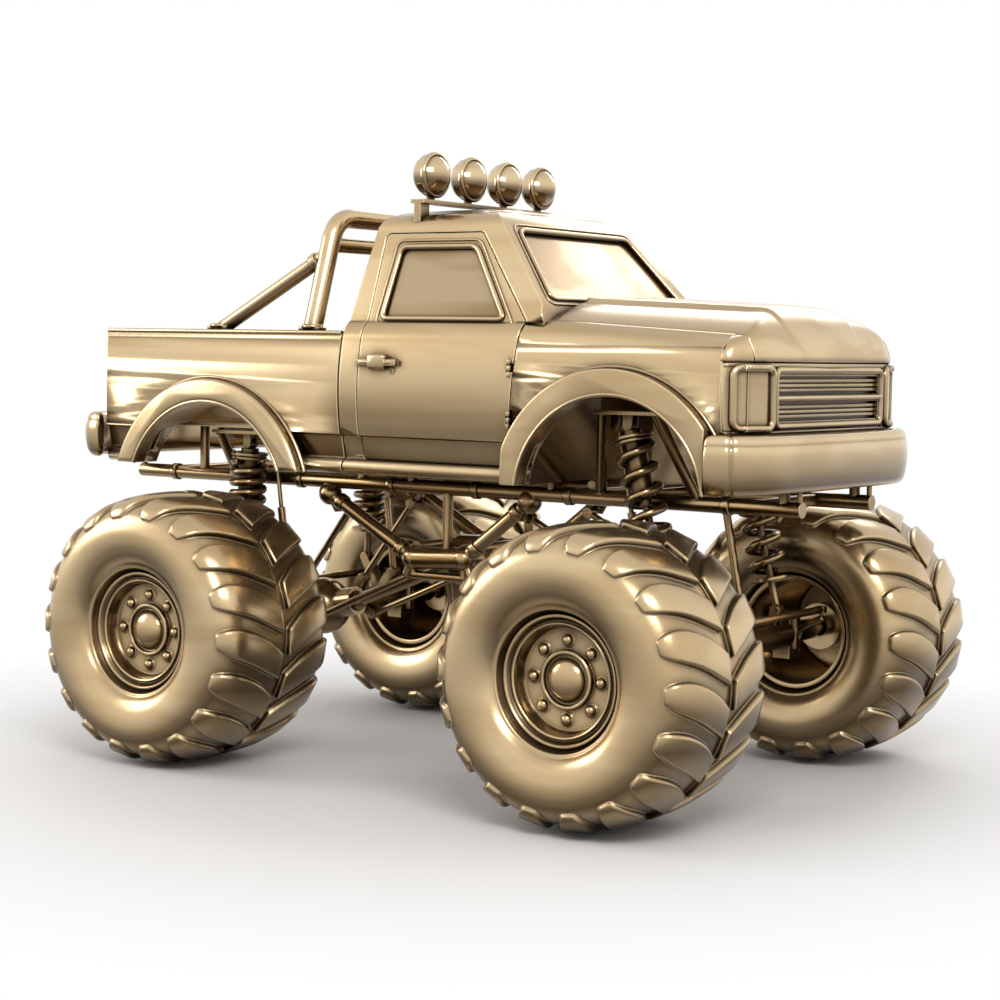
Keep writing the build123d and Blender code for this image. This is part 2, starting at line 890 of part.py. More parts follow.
with BuildPart() as roll_bar:
    for name, side in sides:
        foot = (bar_foot[0], side * bar_foot[1], rail_z + foot_plate)
        top = (bar_top[0], side * bar_top[1], bar_top_z)
        meet = [a + (b - a) * brace_meet_share for a, b in zip(foot, top)]
        back = (brace_foot_x, side * bar_foot[1], rail_z + foot_plate)
        tube(foot, top, bar_radius)
        tube(back, meet, brace_radius)
        ball(top, bar_radius)
        for x in (bar_foot[0], brace_foot_x):
            with Locations((x, side * bar_foot[1], rail_z)):
                Box(
                    2 * foot_plate_half,
                    2 * foot_plate_across,
                    2 * foot_plate + bar_radius,
                    align=(Align.CENTER, Align.CENTER, Align.MIN),
                )
    tube((bar_top[0], -bar_top[1], bar_top_z), (bar_top[0], bar_top[1], bar_top_z), bar_radius)
    low_z = bar_top_z - brace_low_drop
    tube((bar_top[0], -bar_top[1], low_z), (bar_top[0], bar_top[1], low_z), brace_radius)
    block(
        (brace_foot_x - 2 * foot_plate_half, -body_half, rail_z - 2 * bar_radius),
        (bar_foot[0] + 2 * foot_plate_half, body_half, rail_z),
        mode=Mode.SUBTRACT,
    )
save(roll_bar, "roll_bar")

# Light bar and four round roof lamps
lamp_x = 10
lamp_radius = 140
lamp_clear = 12
light_bar_half = 720
light_bar_depth = 100
light_bar_low = 3462
light_bar_thick = 24
light_leg_half = 45
lamp_places = [-585, -195, 195, 585]
lamp_depth = 105
lamp_dome = 45
lamp_bezel = 16
lamp_foot_radius = 26
light_bar_top = light_bar_low + light_bar_thick
lamp_z = light_bar_top + lamp_clear + lamp_radius

with BuildPart() as light_bar:
    block(
        (lamp_x - light_bar_depth / 2, -light_bar_half, light_bar_low),
        (lamp_x + light_bar_depth / 2, light_bar_half, light_bar_top),
    )
    for name, side in sides:
        with Locations((lamp_x, side * (light_bar_half - light_leg_half), eave_z)):
            Box(
                light_bar_depth / 2,
                2 * light_leg_half,
                light_bar_low - eave_z,
                align=(Align.CENTER, Align.CENTER, Align.MIN),
            )
    add(cab_form.part, mode=Mode.SUBTRACT)
save(light_bar, "light_bar")

with BuildPart() as roof_lamps:
    for across in lamp_places:
        with BuildSketch(Plane.XZ.offset(-across)):
            with BuildLine():
                Polyline(
                    (lamp_x - lamp_depth / 2, lamp_z),
                    (lamp_x + lamp_depth / 2 + lamp_dome, lamp_z),
                )
                ThreePointArc(
                    (lamp_x + lamp_depth / 2 + lamp_dome, lamp_z),
                    (lamp_x + lamp_depth / 2 + lamp_dome * 0.75, lamp_z + lamp_radius / 2),
                    (lamp_x + lamp_depth / 2, lamp_z + lamp_radius - lamp_bezel),
                )
                Polyline(
                    (lamp_x + lamp_depth / 2, lamp_z + lamp_radius - lamp_bezel),
                    (lamp_x + lamp_depth / 2, lamp_z + lamp_radius),
                    (lamp_x + lamp_depth / 4, lamp_z + lamp_radius),
                )
                ThreePointArc(
                    (lamp_x + lamp_depth / 4, lamp_z + lamp_radius),
                    (lamp_x - lamp_depth / 4, lamp_z + lamp_radius * 0.75),
                    (lamp_x - lamp_depth / 2, lamp_z),
                )
            make_face()
        revolve(axis=Axis((0, across, lamp_z), (1, 0, 0)))
        with Locations((lamp_x, across, light_bar_top)):
            Cylinder(
                lamp_foot_radius,
                lamp_radius,
                align=(Align.CENTER, Align.CENTER, Align.MIN),
            )
save(roof_lamps, "roof_lamps")

# Frame: two tubular sides under the body, joined by crossmembers
rail_y = 450
frame_rail_z = 1720
frame_rail_radius = 45
frame_end_x = 2520
node_rear = (-860, 1640)
node_low_rear = (-180, 1270)
node_low_front = (210, 1290)
node_front = (690, 1670)
node_radius = 75
chord_radius = 70
diagonal_radius = 45
strut_x = 80
strut_radius = 32
drop_tube_z = 1165
drop_tube_radius = 26
cushion_radius = 32
cab_cushions = [-200, 850]
bed_cushions = [-600, -1950]
panel_cushion_x = 2405
bumper_cushion_x = 2500

# Shock towers, (foot x, head x) of the two legs of each, and their head plates
tower_foot_z = 1740
tower_head_y = 690
tower_leg_radius = 32
tower_plate = 22
front_tower_legs = [(1200, 1345), (1850, 1700)]
front_tower_z = 2225
rear_tower_legs = [(-1100, -1160), (-1660, -1600)]
rear_tower_z = 2010
tower_plate_inner = 530
tower_plate_outer = 735

# Pinned ends of links, dampers and coil-overs
eye_half = 24
eye_radius = 34
eye_pin_radius = 15
lug_thick = 12
lug_gap = 2
lug_radius = 30


def lug(root, pin, across):
    """Two cheeks from a root to a cross pin, with room for an eye between them."""
    for turn in (1, -1):
        y = across + turn * (eye_half + lug_gap + lug_thick / 2)
        flat_bar((root[0], y, root[1]), (pin[0], y, pin[1]), lug_thick, 2 * lug_radius)
        cross_pin((pin[0], y, pin[1]), lug_radius, lug_thick)
    cross_pin((pin[0], across, pin[1]), eye_pin_radius, 2 * (eye_half + lug_gap) + lug_thick)


def eye(centre):
    cross_pin(centre, eye_radius, 2 * eye_half)


def eye_bore(centre):
    cross_pin(centre, eye_pin_radius + run_fit, 2 * eye_half + overrun, mode=Mode.SUBTRACT)


# Places of the pins as (x, z): coil-overs, dampers and links with their distance across
coil_y = 650
damper_y = 560
lower_link_y = 385
upper_link_y = 330
suspension = {
    "front": {
        "coil": ((1510, 2160), (1810, 1010)),
        "damper": ((1375, 2160), (1600, 1040)),
        "lower": ((260, 1180), (1640, 760)),
        "upper": ((620, 1560), (1690, 1010)),
    },
    "rear": {
        "coil": ((-1370, 1945), (-1420, 1120)),
        "damper": ((-1235, 1945), (-1110, 1040)),
        "lower": ((-230, 1160), (-1140, 760)),
        "upper": ((-790, 1540), (-1190, 1010)),
    },
}

with BuildPart() as frame_sides:
    for name, side in sides:
        y = side * rail_y
        tube((-frame_end_x, y, frame_rail_z), (frame_end_x, y, frame_rail_z), frame_rail_radius)
        for x, z in (node_rear, node_front):
            ball((x, y, z), node_radius)
        for x, z in (node_low_rear, node_low_front):
            ball((x, y, z), node_radius)
        tube((node_rear[0], y, node_rear[1]), (node_low_rear[0], y, node_low_rear[1]), diagonal_radius)
        tube((node_front[0], y, node_front[1]), (node_low_front[0], y, node_low_front[1]), diagonal_radius)
        tube((node_low_rear[0], y, node_low_rear[1]), (node_low_front[0], y, node_low_front[1]), chord_radius)
        tube((strut_x, y, node_low_front[1]), (strut_x, y, frame_rail_z), strut_radius)
        tube((node_low_rear[0], y, drop_tube_z), (node_low_front[0], y, drop_tube_z), drop_tube_radius)
        for x, z in (node_low_rear, node_low_front):
            tube((x, y, drop_tube_z), (x, y, z), drop_tube_radius)
            ball((x, y, drop_tube_z), drop_tube_radius)
        for x in cab_cushions + [panel_cushion_x]:
            tube((x, y, frame_rail_z), (x, y, sill_z), cushion_radius)
        for x in bed_cushions:
            tube((x, y, frame_rail_z), (x, y, bed_floor_low_z), cushion_radius)
        for x in (bumper_cushion_x, -bumper_cushion_x):
            tube((x, y, frame_rail_z), (x, y, bumper_low_z), cushion_radius / 2)
        for legs, top_z in ((front_tower_legs, front_tower_z), (rear_tower_legs, rear_tower_z)):
            for foot_x, head_x in legs:
                tube(
                    (foot_x, y, tower_foot_z),
                    (head_x, side * tower_head_y, top_z + tower_plate / 2),
                    tower_leg_radius,
                )
            block(
                (legs[0][1] - tower_leg_radius * (1 if legs[0][1] > 0 else -1), side * tower_plate_inner, top_z),
                (legs[1][1] + tower_leg_radius * (1 if legs[1][1] > 0 else -1), side * tower_plate_outer, top_z + tower_plate),
            )
            block(
                (legs[0][1] - 2 * overrun - tower_leg_radius, side * tower_plate_inner, top_z + tower_plate),
                (legs[1][1] + 2 * overrun + tower_leg_radius, side * (tower_plate_outer + overrun), top_z + 3 * tower_plate),
                mode=Mode.SUBTRACT,
            )
        for end in ("front", "rear"):
            pins = suspension[end]
            plate_z = front_tower_z if end == "front" else rear_tower_z
            for kind, across in (("coil", coil_y), ("damper", damper_y)):
                x, z = pins[kind][0]
                lug((x, plate_z), (x, z), side * across)
            low_node = node_low_front if end == "front" else node_low_rear
            high_node = node_front if end == "front" else node_rear
            for kind, across, node in (("lower", lower_link_y, low_node), ("upper", upper_link_y, high_node)):
                x, z = pins[kind][0]
                tube((node[0], y, node[1]), (x, y, z), lug_radius)
                cross_pin((x, side * (rail_y + across) / 2, z), eye_pin_radius, rail_y - across + 2 * eye_half)
save(frame_sides, "frame_sides")

cross_radius = 35
crossmembers = [-2300, -1900, -1275, -600, 300, 900, 1560, 2150]
case_cross = [(-165, 1340), (195, 1340)]

with BuildPart() as frame_crossmembers:
    for x in crossmembers:
        tube((x, -rail_y, frame_rail_z), (x, rail_y, frame_rail_z), cross_radius)
    for x, z in case_cross:
        tube((x, -rail_y, z), (x, rail_y, z), cross_radius)
    add(frame_sides.part, mode=Mode.SUBTRACT)
save(frame_crossmembers, "frame_crossmembers")

# Transfer case, engine and driveshafts
case_radius = 165
case_z = 1230
case_ends = [case_cross[0][0] + cross_radius + seat_gap, case_cross[1][0] - cross_radius - seat_gap]

with BuildPart() as transfer_case:
    tube((case_ends[0], 0, case_z), (case_ends[1], 0, case_z), case_radius)
save(transfer_case, "transfer_case")

engine_low = (1070, -270, 1790)
engine_high = (1440, 270, 2480)
engine_mounts = [1130, 1380]
engine_mount_radius = 28

with BuildPart() as engine:
    block(engine_low, engine_high)
    for x in engine_mounts:
        z = frame_rail_z + frame_rail_radius + engine_mount_radius
        tube((x, -rail_y, z), (x, rail_y, z), engine_mount_radius)
save(engine, "engine")

# Axles: a round centre housing, tubes and forks that hold the kingpins
kingpin_y = 930
housing_radius = 190
housing_band = 120
axle_tube_radius = 88
fork_web_y = 785
fork_web = 30
fork_plate_half = 56
fork_low = 110
fork_high = 150
fork_end = 55
kingpin_radius = 22
nose_radius = 95
nose_reach = 290

axles = {}
for end, way, axle_x in ends:
    with BuildPart() as axle:
        ball((axle_x, 0, axle_z), housing_radius)
        cross_pin((axle_x, 0, axle_z), axle_tube_radius, 2 * (fork_web_y + fork_web / 2))
        tube((axle_x, 0, axle_z), (axle_x - way * nose_reach, 0, axle_z + fork_plate_half), nose_radius)
        for name, side in sides:
            block(
                (axle_x - fork_plate_half, side * fork_web_y, axle_z - fork_high),
                (axle_x + fork_plate_half, side * (fork_web_y + fork_web), axle_z + fork_high),
            )
            for turn in (1, -1):
                block(
                    (axle_x - fork_plate_half, side * fork_web_y, axle_z + turn * fork_low),
                    (axle_x + fork_plate_half, side * kingpin_y, axle_z + turn * fork_high),
                )
                with Locations((axle_x, side * kingpin_y, axle_z + turn * (fork_low + fork_high) / 2)):
                    Cylinder(fork_plate_half, fork_high - fork_low)
            with Locations((axle_x, side * kingpin_y, axle_z)):
                Cylinder(kingpin_radius + run_fit, 3 * fork_high, mode=Mode.SUBTRACT)
            pins = suspension[end]
            for kind, across in (
                ("coil", coil_y),
                ("damper", damper_y),
                ("lower", lower_link_y),
                ("upper", upper_link_y),
            ):
                lug((axle_x, axle_z), pins[kind][1], side * across)
    save(axle, f"{end}_axle")
    axles[end] = axle.part

shaft_radius = 42
shaft_joint_radius = 68

with BuildPart() as driveshafts:
    for (end, way, axle_x), case_x in zip(ends, (case_ends[1], case_ends[0])):
        start = (case_x, 0, case_z)
        stop = (axle_x - way * nose_reach, 0, axle_z + fork_plate_half)
        tube(start, stop, shaft_radius)
        ball(stop, shaft_joint_radius)
        ball(start, shaft_joint_radius)
    add(transfer_case.part, mode=Mode.SUBTRACT)
    for end, way, axle_x in ends:
        add(axles[end], mode=Mode.SUBTRACT)
save(driveshafts, "driveshafts")

# Links, dampers, coil-overs and their springs
link_radius = 21
damper_body_radius = 25
damper_rod_radius = 14
damper_body_share = 0.55
coil_body_radius = 40
coil_rod_radius = 23
coil_seat_radius = 118
coil_seat_thick = 16
coil_wire_radius = 17
coil_radius = 108
coil_turns = 5.5
coil_start = 90
coil_stop = 215
coil_body_begin = 45
coil_body_stop = 470

with BuildPart() as suspension_links:
    for end, way, axle_x in ends:
        for kind, across in (("lower", lower_link_y), ("upper", upper_link_y)):
            (x0, z0), (x1, z1) = suspension[end][kind]
            for name, side in sides:
                first = (x0, side * across, z0)
                second = (x1, side * across, z1)
                tube(first, second, link_radius)
                eye(first)
                eye(second)
                eye_bore(first)
                eye_bore(second)
save(suspension_links, "suspension_links")

with BuildPart() as dampers:
    for end, way, axle_x in ends:
        (x0, z0), (x1, z1) = suspension[end]["damper"]
        for name, side in sides:
            first = (x0, side * damper_y, z0)
            second = (x1, side * damper_y, z1)
            waist = [b + (a - b) * damper_body_share for a, b in zip(first, second)]
            tube(second, waist, damper_body_radius)
            tube(waist, first, damper_rod_radius)
            eye(first)
            eye(second)
            eye_bore(first)
            eye_bore(second)
save(dampers, "dampers")

with BuildPart() as coilover_shocks:
    for end, way, axle_x in ends:
        (x0, z0), (x1, z1) = suspension[end]["coil"]
        for name, side in sides:
            top = Vector(x0, side * coil_y, z0)
            foot = Vector(x1, side * coil_y, z1)
            along = (foot - top).normalized()
            tube(tuple(top), tuple(foot), coil_rod_radius)
            tube(
                tuple(top + along * coil_body_begin),
                tuple(top + along * coil_body_stop),
                coil_body_radius,
            )
            seat = top + along * (coil_start - coil_wire_radius - coil_seat_thick)
            tube(tuple(seat), tuple(seat + along * coil_seat_thick), coil_seat_radius)
            seat = foot - along * (coil_stop - coil_wire_radius)
            tube(tuple(seat), tuple(seat + along * coil_seat_thick), coil_seat_radius)
            eye(tuple(top))
            eye(tuple(foot))
            eye_bore(tuple(top))
            eye_bore(tuple(foot))
save(coilover_shocks, "coilover_shocks")

coils = {}
for end, way, axle_x in ends:
    (x0, z0), (x1, z1) = suspension[end]["coil"]
    run = Vector(x1, 0, z1) - Vector(x0, 0, z0)
    height = run.length - coil_start - coil_stop
    with BuildPart() as coil:
        with BuildLine() as path:
            Helix(pitch=height / coil_turns, height=height, radius=coil_radius)
        with BuildSketch(Plane(origin=path.line @ 0, z_dir=path.line % 0)):
            RegularPolygon(coil_wire_radius, 6)
        sweep(is_frenet=True)
    coils[end] = coil.part

with BuildPart() as coilover_springs:
    for end, way, axle_x in ends:
        (x0, z0), (x1, z1) = suspension[end]["coil"]
        for name, side in sides:
            top = Vector(x0, side * coil_y, z0)
            run = Vector(x1, side * coil_y, z1) - top
            start = top + run.normalized() * coil_start
            with Locations(Plane(origin=start, z_dir=run).location):
                add(coils[end])
save(coilover_springs, "coilover_springs")

# Knuckles and tie rods: both axles steer, each pair of knuckles joined by a rod
knuckle_radius = 50
knuckle_half = 104
spindle_radius = 45
spindle_end_y = 1600
spindle_shoulder = 66
spindle_shoulder_end = 1180
arm_reach = 200
arm_radius = 24
arm_end_z = 100
rod_z = 160
rod_radius = 24
rod_eye_radius = 34
rod_eye_half = 20
rod_pin_radius = 14

for end, way, axle_x in ends:
    for name, side in sides:
        with BuildPart() as knuckle:
            with Locations((axle_x, side * kingpin_y, axle_z)):
                Cylinder(knuckle_radius, 2 * knuckle_half)
                Cylinder(kingpin_radius, 2 * fork_high)
            tube((axle_x, side * kingpin_y, axle_z), (axle_x, side * spindle_end_y, axle_z), spindle_radius)
            tube((axle_x, side * kingpin_y, axle_z), (axle_x, side * spindle_shoulder_end, axle_z), spindle_shoulder)
            tip_x = axle_x + way * arm_reach
            tip = (tip_x, side * kingpin_y, axle_z + arm_end_z)
            tube((axle_x, side * kingpin_y, axle_z), tip, arm_radius)
            ball(tip, arm_radius)
            tube(tip, (tip_x, side * kingpin_y, axle_z + rod_z + rod_eye_half), rod_pin_radius)
        save(knuckle, f"knuckle_{end}_{name}")
    with BuildPart() as tie_rod:
        tip_x = axle_x + way * arm_reach
        tube((tip_x, -kingpin_y, axle_z + rod_z), (tip_x, kingpin_y, axle_z + rod_z), rod_radius)
        for name, side in sides:
            with Locations((tip_x, side * kingpin_y, axle_z + rod_z)):
                Cylinder(rod_eye_radius, 2 * rod_eye_half)
                Cylinder(rod_pin_radius + run_fit, 3 * rod_eye_half, mode=Mode.SUBTRACT)
    save(tie_rod, f"tie_rod_{end}")

# Tyres and wheels, made round the Y axis with the outer face toward positive Y
bead_half = 390
bead_radius = 345
tyre_fit = 0.3
sidewall = [
    (390, 362),
    (440, 385),
    (505, 480),
    (520, 570),
    (500, 690),
    (460, 775),
    (370, 838),
]
rim_wall = 15
lip = 20
lip_rise = 15
disc_out = 315
disc_thick = 20
hub_radius = 150
hub_in = -50
hub_ring = 22
dome_radius = 108
dome_rise = 48
nut_circle = 220
nut_radius = 32
nut_rise = 34
nut_count = 8

with BuildPart() as tyre_form:
    with BuildSketch(Plane.YZ):
        with BuildLine():
            Polyline((0, bead_radius + tyre_fit), (bead_half - tyre_fit, bead_radius + tyre_fit), (bead_half - tyre_fit, sidewall[0][1]), *sidewall[1:], (0, tyre_radius), (0, bead_radius + tyre_fit))
        make_face()
        mirror(about=Plane.YZ)
    revolve(axis=Axis.Y)

with BuildPart() as rim_form:
    with BuildSketch(Plane.YZ):
        Polygon(
            (-(bead_half + lip), bead_radius - rim_wall),
            (-(bead_half + lip), bead_radius + lip_rise),
            (-bead_half, bead_radius + lip_rise),
            (-bead_half, bead_radius),
            (bead_half, bead_radius),
            (bead_half, bead_radius + lip_rise),
            (bead_half + lip, bead_radius + lip_rise),
            (bead_half + lip, bead_radius - rim_wall),
            (disc_out, bead_radius - 2 * rim_wall),
            (disc_out, dome_radius),
            (disc_out + hub_ring, dome_radius),
            (disc_out + dome_rise, dome_radius / 2),
            (disc_out + dome_rise, 0),
            (disc_out - disc_thick, 0),
            (hub_in, 0),
            (hub_in, hub_radius),
            (disc_out - disc_thick, hub_radius),
            (disc_out - disc_thick, bead_radius - rim_wall),
            align=None,
        )
    revolve(axis=Axis.Y)
    with BuildSketch(Plane.XZ.offset(-disc_out)):
        Circle(hub_radius)
        with PolarLocations(nut_circle, nut_count):
            Circle(nut_radius)
    extrude(amount=-hub_ring)
    tube((0, hub_in - overrun, 0), (0, spindle_end_y - wheel_y + seat_gap, 0), spindle_radius + run_fit, mode=Mode.SUBTRACT)

for end, way, axle_x in ends:
    for name, side in sides:
        turn = 0 if side > 0 else 180
        place = Location((axle_x, side * wheel_y, axle_z), (0, 0, turn))
        with BuildPart() as tyre:
            with Locations(place):
                add(tyre_form.part)
        save(tyre, f"tyre_{end}_{name}")
        with BuildPart() as rim:
            with Locations(place):
                add(rim_form.part)
        save(rim, f"rim_{end}_{name}")

# Seats, dashboard and steering wheel
seat_y = 385
seat_half = 250
seat_front_x = 560
seat_rear_x = 20
seat_top_z = 2230
seat_back_top = (-150, 2760)
seat_back_thick = 140

with BuildPart() as seats:
    for name, side in sides:
        with BuildSketch(Plane.XZ.offset(-side * (seat_y - seat_half))):
            Polygon(
                (seat_rear_x, cab_floor_z),
                (seat_front_x, cab_floor_z),
                (seat_front_x, seat_top_z),
                (seat_rear_x + seat_back_thick, seat_top_z),
                (seat_back_top[0] + seat_back_thick, seat_back_top[1]),
                seat_back_top,
                (seat_rear_x - seat_back_thick / 2, seat_top_z),
                align=None,
            )
        extrude(amount=-side * 2 * seat_half)
save(seats, "seats")

dash_low = (705, -820, 2400)
dash_high = (firewall_x, 820, 2650)
column_foot = (dash_low[0], seat_y, 2530)
column_head = (560, seat_y, 2600)
column_radius = 30
column_tip_radius = 18
wheel_ring_radius = 185
wheel_grip_radius = 17
wheel_hub_radius = 45
wheel_hub_half = 22
spoke_radius = 12
spoke_count = 3

column_run = Vector(*column_head) - Vector(*column_foot)
column_stop = Vector(*column_head) - column_run.normalized() * (wheel_hub_half + seat_gap)
column_tip = Vector(*column_head) + column_run.normalized() * (wheel_hub_half / 2)

with BuildPart() as dashboard:
    block(dash_low, dash_high)
    tube(column_foot, tuple(column_stop), column_radius)
    tube(tuple(column_stop), tuple(column_tip), column_tip_radius)
save(dashboard, "dashboard")

with BuildPart() as steering_wheel:
    with Locations(Plane(origin=column_head, x_dir=(0, 1, 0), z_dir=column_run).location):
        Torus(wheel_ring_radius, wheel_grip_radius)
        Cylinder(wheel_hub_radius, 2 * wheel_hub_half)
        with PolarLocations(0, spoke_count):
            Cylinder(
                spoke_radius,
                wheel_ring_radius,
                rotation=(0, 90, 0),
                align=(Align.CENTER, Align.CENTER, Align.MIN),
            )
    tube(
        tuple(column_stop - column_run.normalized() * overrun),
        tuple(column_tip + column_run.normalized() * seat_gap),
        column_tip_radius + run_fit,
        mode=Mode.SUBTRACT,
    )
save(steering_wheel, "steering_wheel")
print("wheel axis", column_run.normalized())
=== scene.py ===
import json
import math

import bmesh
import bpy
from mathutils import Matrix, Vector


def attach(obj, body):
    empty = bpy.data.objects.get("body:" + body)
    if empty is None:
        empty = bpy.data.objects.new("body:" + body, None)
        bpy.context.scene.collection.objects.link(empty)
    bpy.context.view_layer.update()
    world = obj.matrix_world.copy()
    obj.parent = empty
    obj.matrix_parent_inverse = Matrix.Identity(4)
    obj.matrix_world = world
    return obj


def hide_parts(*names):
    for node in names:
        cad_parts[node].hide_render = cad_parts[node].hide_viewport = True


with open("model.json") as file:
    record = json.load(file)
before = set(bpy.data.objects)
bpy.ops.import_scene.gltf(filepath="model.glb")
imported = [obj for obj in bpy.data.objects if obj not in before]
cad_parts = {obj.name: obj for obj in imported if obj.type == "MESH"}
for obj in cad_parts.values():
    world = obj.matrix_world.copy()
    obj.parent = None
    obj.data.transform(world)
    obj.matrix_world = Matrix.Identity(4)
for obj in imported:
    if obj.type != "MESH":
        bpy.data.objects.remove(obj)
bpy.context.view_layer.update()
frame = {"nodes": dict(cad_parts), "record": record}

record = frame["record"]
print("frame loaded:", len(frame["nodes"]), "nodes")


# Shader maths as Python: a socket that can be added, multiplied and so on
class Sock:
    def __init__(self, nodes, socket):
        self.nodes = nodes
        self.socket = socket

    def math(self, operation, other=0.0, clamp=False):
        return self.nodes.add("Math", {"operation": operation, "use_clamp": clamp}, [self, other])

    def __add__(self, other):
        return self.math("ADD", other)

    def __radd__(self, other):
        return self.math("ADD", other)

    def __sub__(self, other):
        return self.math("SUBTRACT", other)

    def __rsub__(self, other):
        return self.nodes.add("Math", {"operation": "SUBTRACT"}, [other, self])

    def __mul__(self, other):
        return self.math("MULTIPLY", other)

    def __rmul__(self, other):
        return self.math("MULTIPLY", other)

    def __truediv__(self, other):
        return self.math("DIVIDE", other)

    def clamped(self):
        return self.math("ADD", 0.0, True)


class NodeBench:
    def __init__(self, material):
        material.use_nodes = True
        self.tree = material.node_tree
        self.tree.nodes.clear()

    def add(self, kind, settings=None, inputs=None, output=0):
        node = self.tree.nodes.new("ShaderNode" + kind)
        for name, value in (settings or {}).items():
            if name == "ramp":
                stops = node.color_ramp.elements
                while len(stops) < len(value):
                    stops.new(0.5)
                for stop, (place, colour) in zip(stops, value):
                    stop.position = place
                    stop.color = colour
            else:
                setattr(node, name, value)
        pairs = inputs.items() if isinstance(inputs, dict) else enumerate(inputs or [])
        for name, value in pairs:
            if isinstance(name, str):
                plug = next(p for p in node.inputs if p.name == name and p.enabled)
            else:
                plug = node.inputs[name]
            if isinstance(value, Sock):
                self.tree.links.new(value.socket, plug)
            elif value is not None:
                plug.default_value = value
        return Sock(self, node.outputs[output]) if node.outputs else node


# Camera at the photograph's viewing angle
cameraSet = {
    "azimuth": 34.7,
    "elevation": 4.0,
    "distance": 13.74,
    "target": (0.16, 0.0, 1.63),
    "roll": 1.0,
    "lens": 77.83,
}


def placeCamera(s):
    az, el = math.radians(s["azimuth"]), math.radians(s["elevation"])
    back = Vector((math.sin(az) * math.cos(el), -math.cos(az) * math.cos(el), math.sin(el)))
    data = bpy.data.cameras.new("camera")
    data.lens = s["lens"]
    data.sensor_width = 36
    data.clip_end = 200
    cam = bpy.data.objects.new("camera", data)
    bpy.context.collection.objects.link(cam)
    turn = (-back).to_track_quat("-Z", "Y").to_matrix() @ Matrix.Rotation(math.radians(s["roll"]), 3, "Z")
    cam.matrix_world = Matrix.Translation(Vector(s["target"]) + back * s["distance"]) @ turn.to_4x4()
    bpy.context.scene.camera = cam


placeCamera(cameraSet)
print("camera placed")

# Studio: a pale floor, a white world and soft lamps; the rays that see pure white are the
# camera's, the glossy and the transmitted ones, by their place among Light Path's outputs
studio = {
    "rays": (0, 3, 6),
    "floorRadius": 60.0,
    "floorColour": (0.86, 0.855, 0.85, 1.0),
    "floorGrain": {"Scale": 0.6, "Detail": 2.0},
    "floorRough": (0.55, 0.10),
    "fadeFrom": 2.6,
    "fadeTo": 5.2,
    "worldCamera": (1.0, 1.0, 1.0, 1.0),
    "worldLight": (0.62, 0.60, 0.58, 1.0),
    "lamps": {
        "keyLamp": {"place": (7.5, -8.0, 9.0), "target": (0, 0, 1.8), "size": (6, 4), "power": 650.0},
        "fillLamp": {"place": (-9.0, -6.0, 5.0), "target": (0, 0, 1.8), "size": (5, 5), "power": 300.0},
        "backLamp": {"place": (-2.0, 9.0, 8.0), "target": (0, 0, 2.2), "size": (8, 3), "power": 220.0},
    },
}


def areaLamp(name, place, target, size, power):
    data = bpy.data.lights.new(name, "AREA")
    data.shape = "RECTANGLE"
    data.size, data.size_y = size
    data.energy = power
    lamp = bpy.data.objects.new(name, data)
    bpy.context.collection.objects.link(lamp)
    aim = Vector(target) - Vector(place)
    lamp.matrix_world = Matrix.Translation(place) @ aim.to_track_quat("-Z", "Y").to_matrix().to_4x4()


def buildStudio(s):
    bpy.ops.object.select_all(action="DESELECT")
    bpy.ops.mesh.primitive_circle_add(vertices=96, radius=s["floorRadius"], fill_type="NGON", location=(0, 0, -0.001))
    floor = bpy.context.object
    floor.name = "floor"
    material = bpy.data.materials.new("floorPaint")
    bench = NodeBench(material)
    coords = bench.add("TexCoord", output=3)
    noise = bench.add("TexNoise", None, {"Vector": coords, **s["floorGrain"]})
    rough = s["floorRough"][0] + noise * s["floorRough"][1]
    shader = bench.add("BsdfPrincipled", None, {"Base Color": s["floorColour"], "Roughness": rough})
    away = bench.add("VectorMath", {"operation": "LENGTH"}, [coords], 1)
    fade = ((away - s["fadeFrom"]) / (s["fadeTo"] - s["fadeFrom"])).clamped()
    camera, glossy, through = [bench.add("LightPath", output=ray) for ray in s["rays"]]
    white = bench.add("Emission", None, {"Color": (1, 1, 1, 1), "Strength": 1.0})
    mix = bench.add("MixShader", None, [(camera + glossy + through).clamped() * fade, shader, white])
    bench.add("OutputMaterial", None, {"Surface": mix})
    material.cycles.emission_sampling = "NONE"
    floor.data.materials.append(material)
    world = bpy.data.worlds.new("studioWorld")
    bpy.context.scene.world = world
    bench = NodeBench(world)
    camera, glossy, through = [bench.add("LightPath", output=ray) for ray in s["rays"]]
    light = bench.add("Background", None, {"Color": s["worldLight"], "Strength": 1.0})
    white = bench.add("Background", None, {"Color": s["worldCamera"], "Strength": 1.0})
    mix = bench.add("MixShader", None, [(camera + glossy + through).clamped(), light, white])
    bench.add("OutputWorld", None, {"Surface": mix})
    for name, lamp in s["lamps"].items():
        areaLamp(name, **lamp)


buildStudio(studio)
bpy.context.scene.view_settings.view_transform = "Standard"
print("studio built")

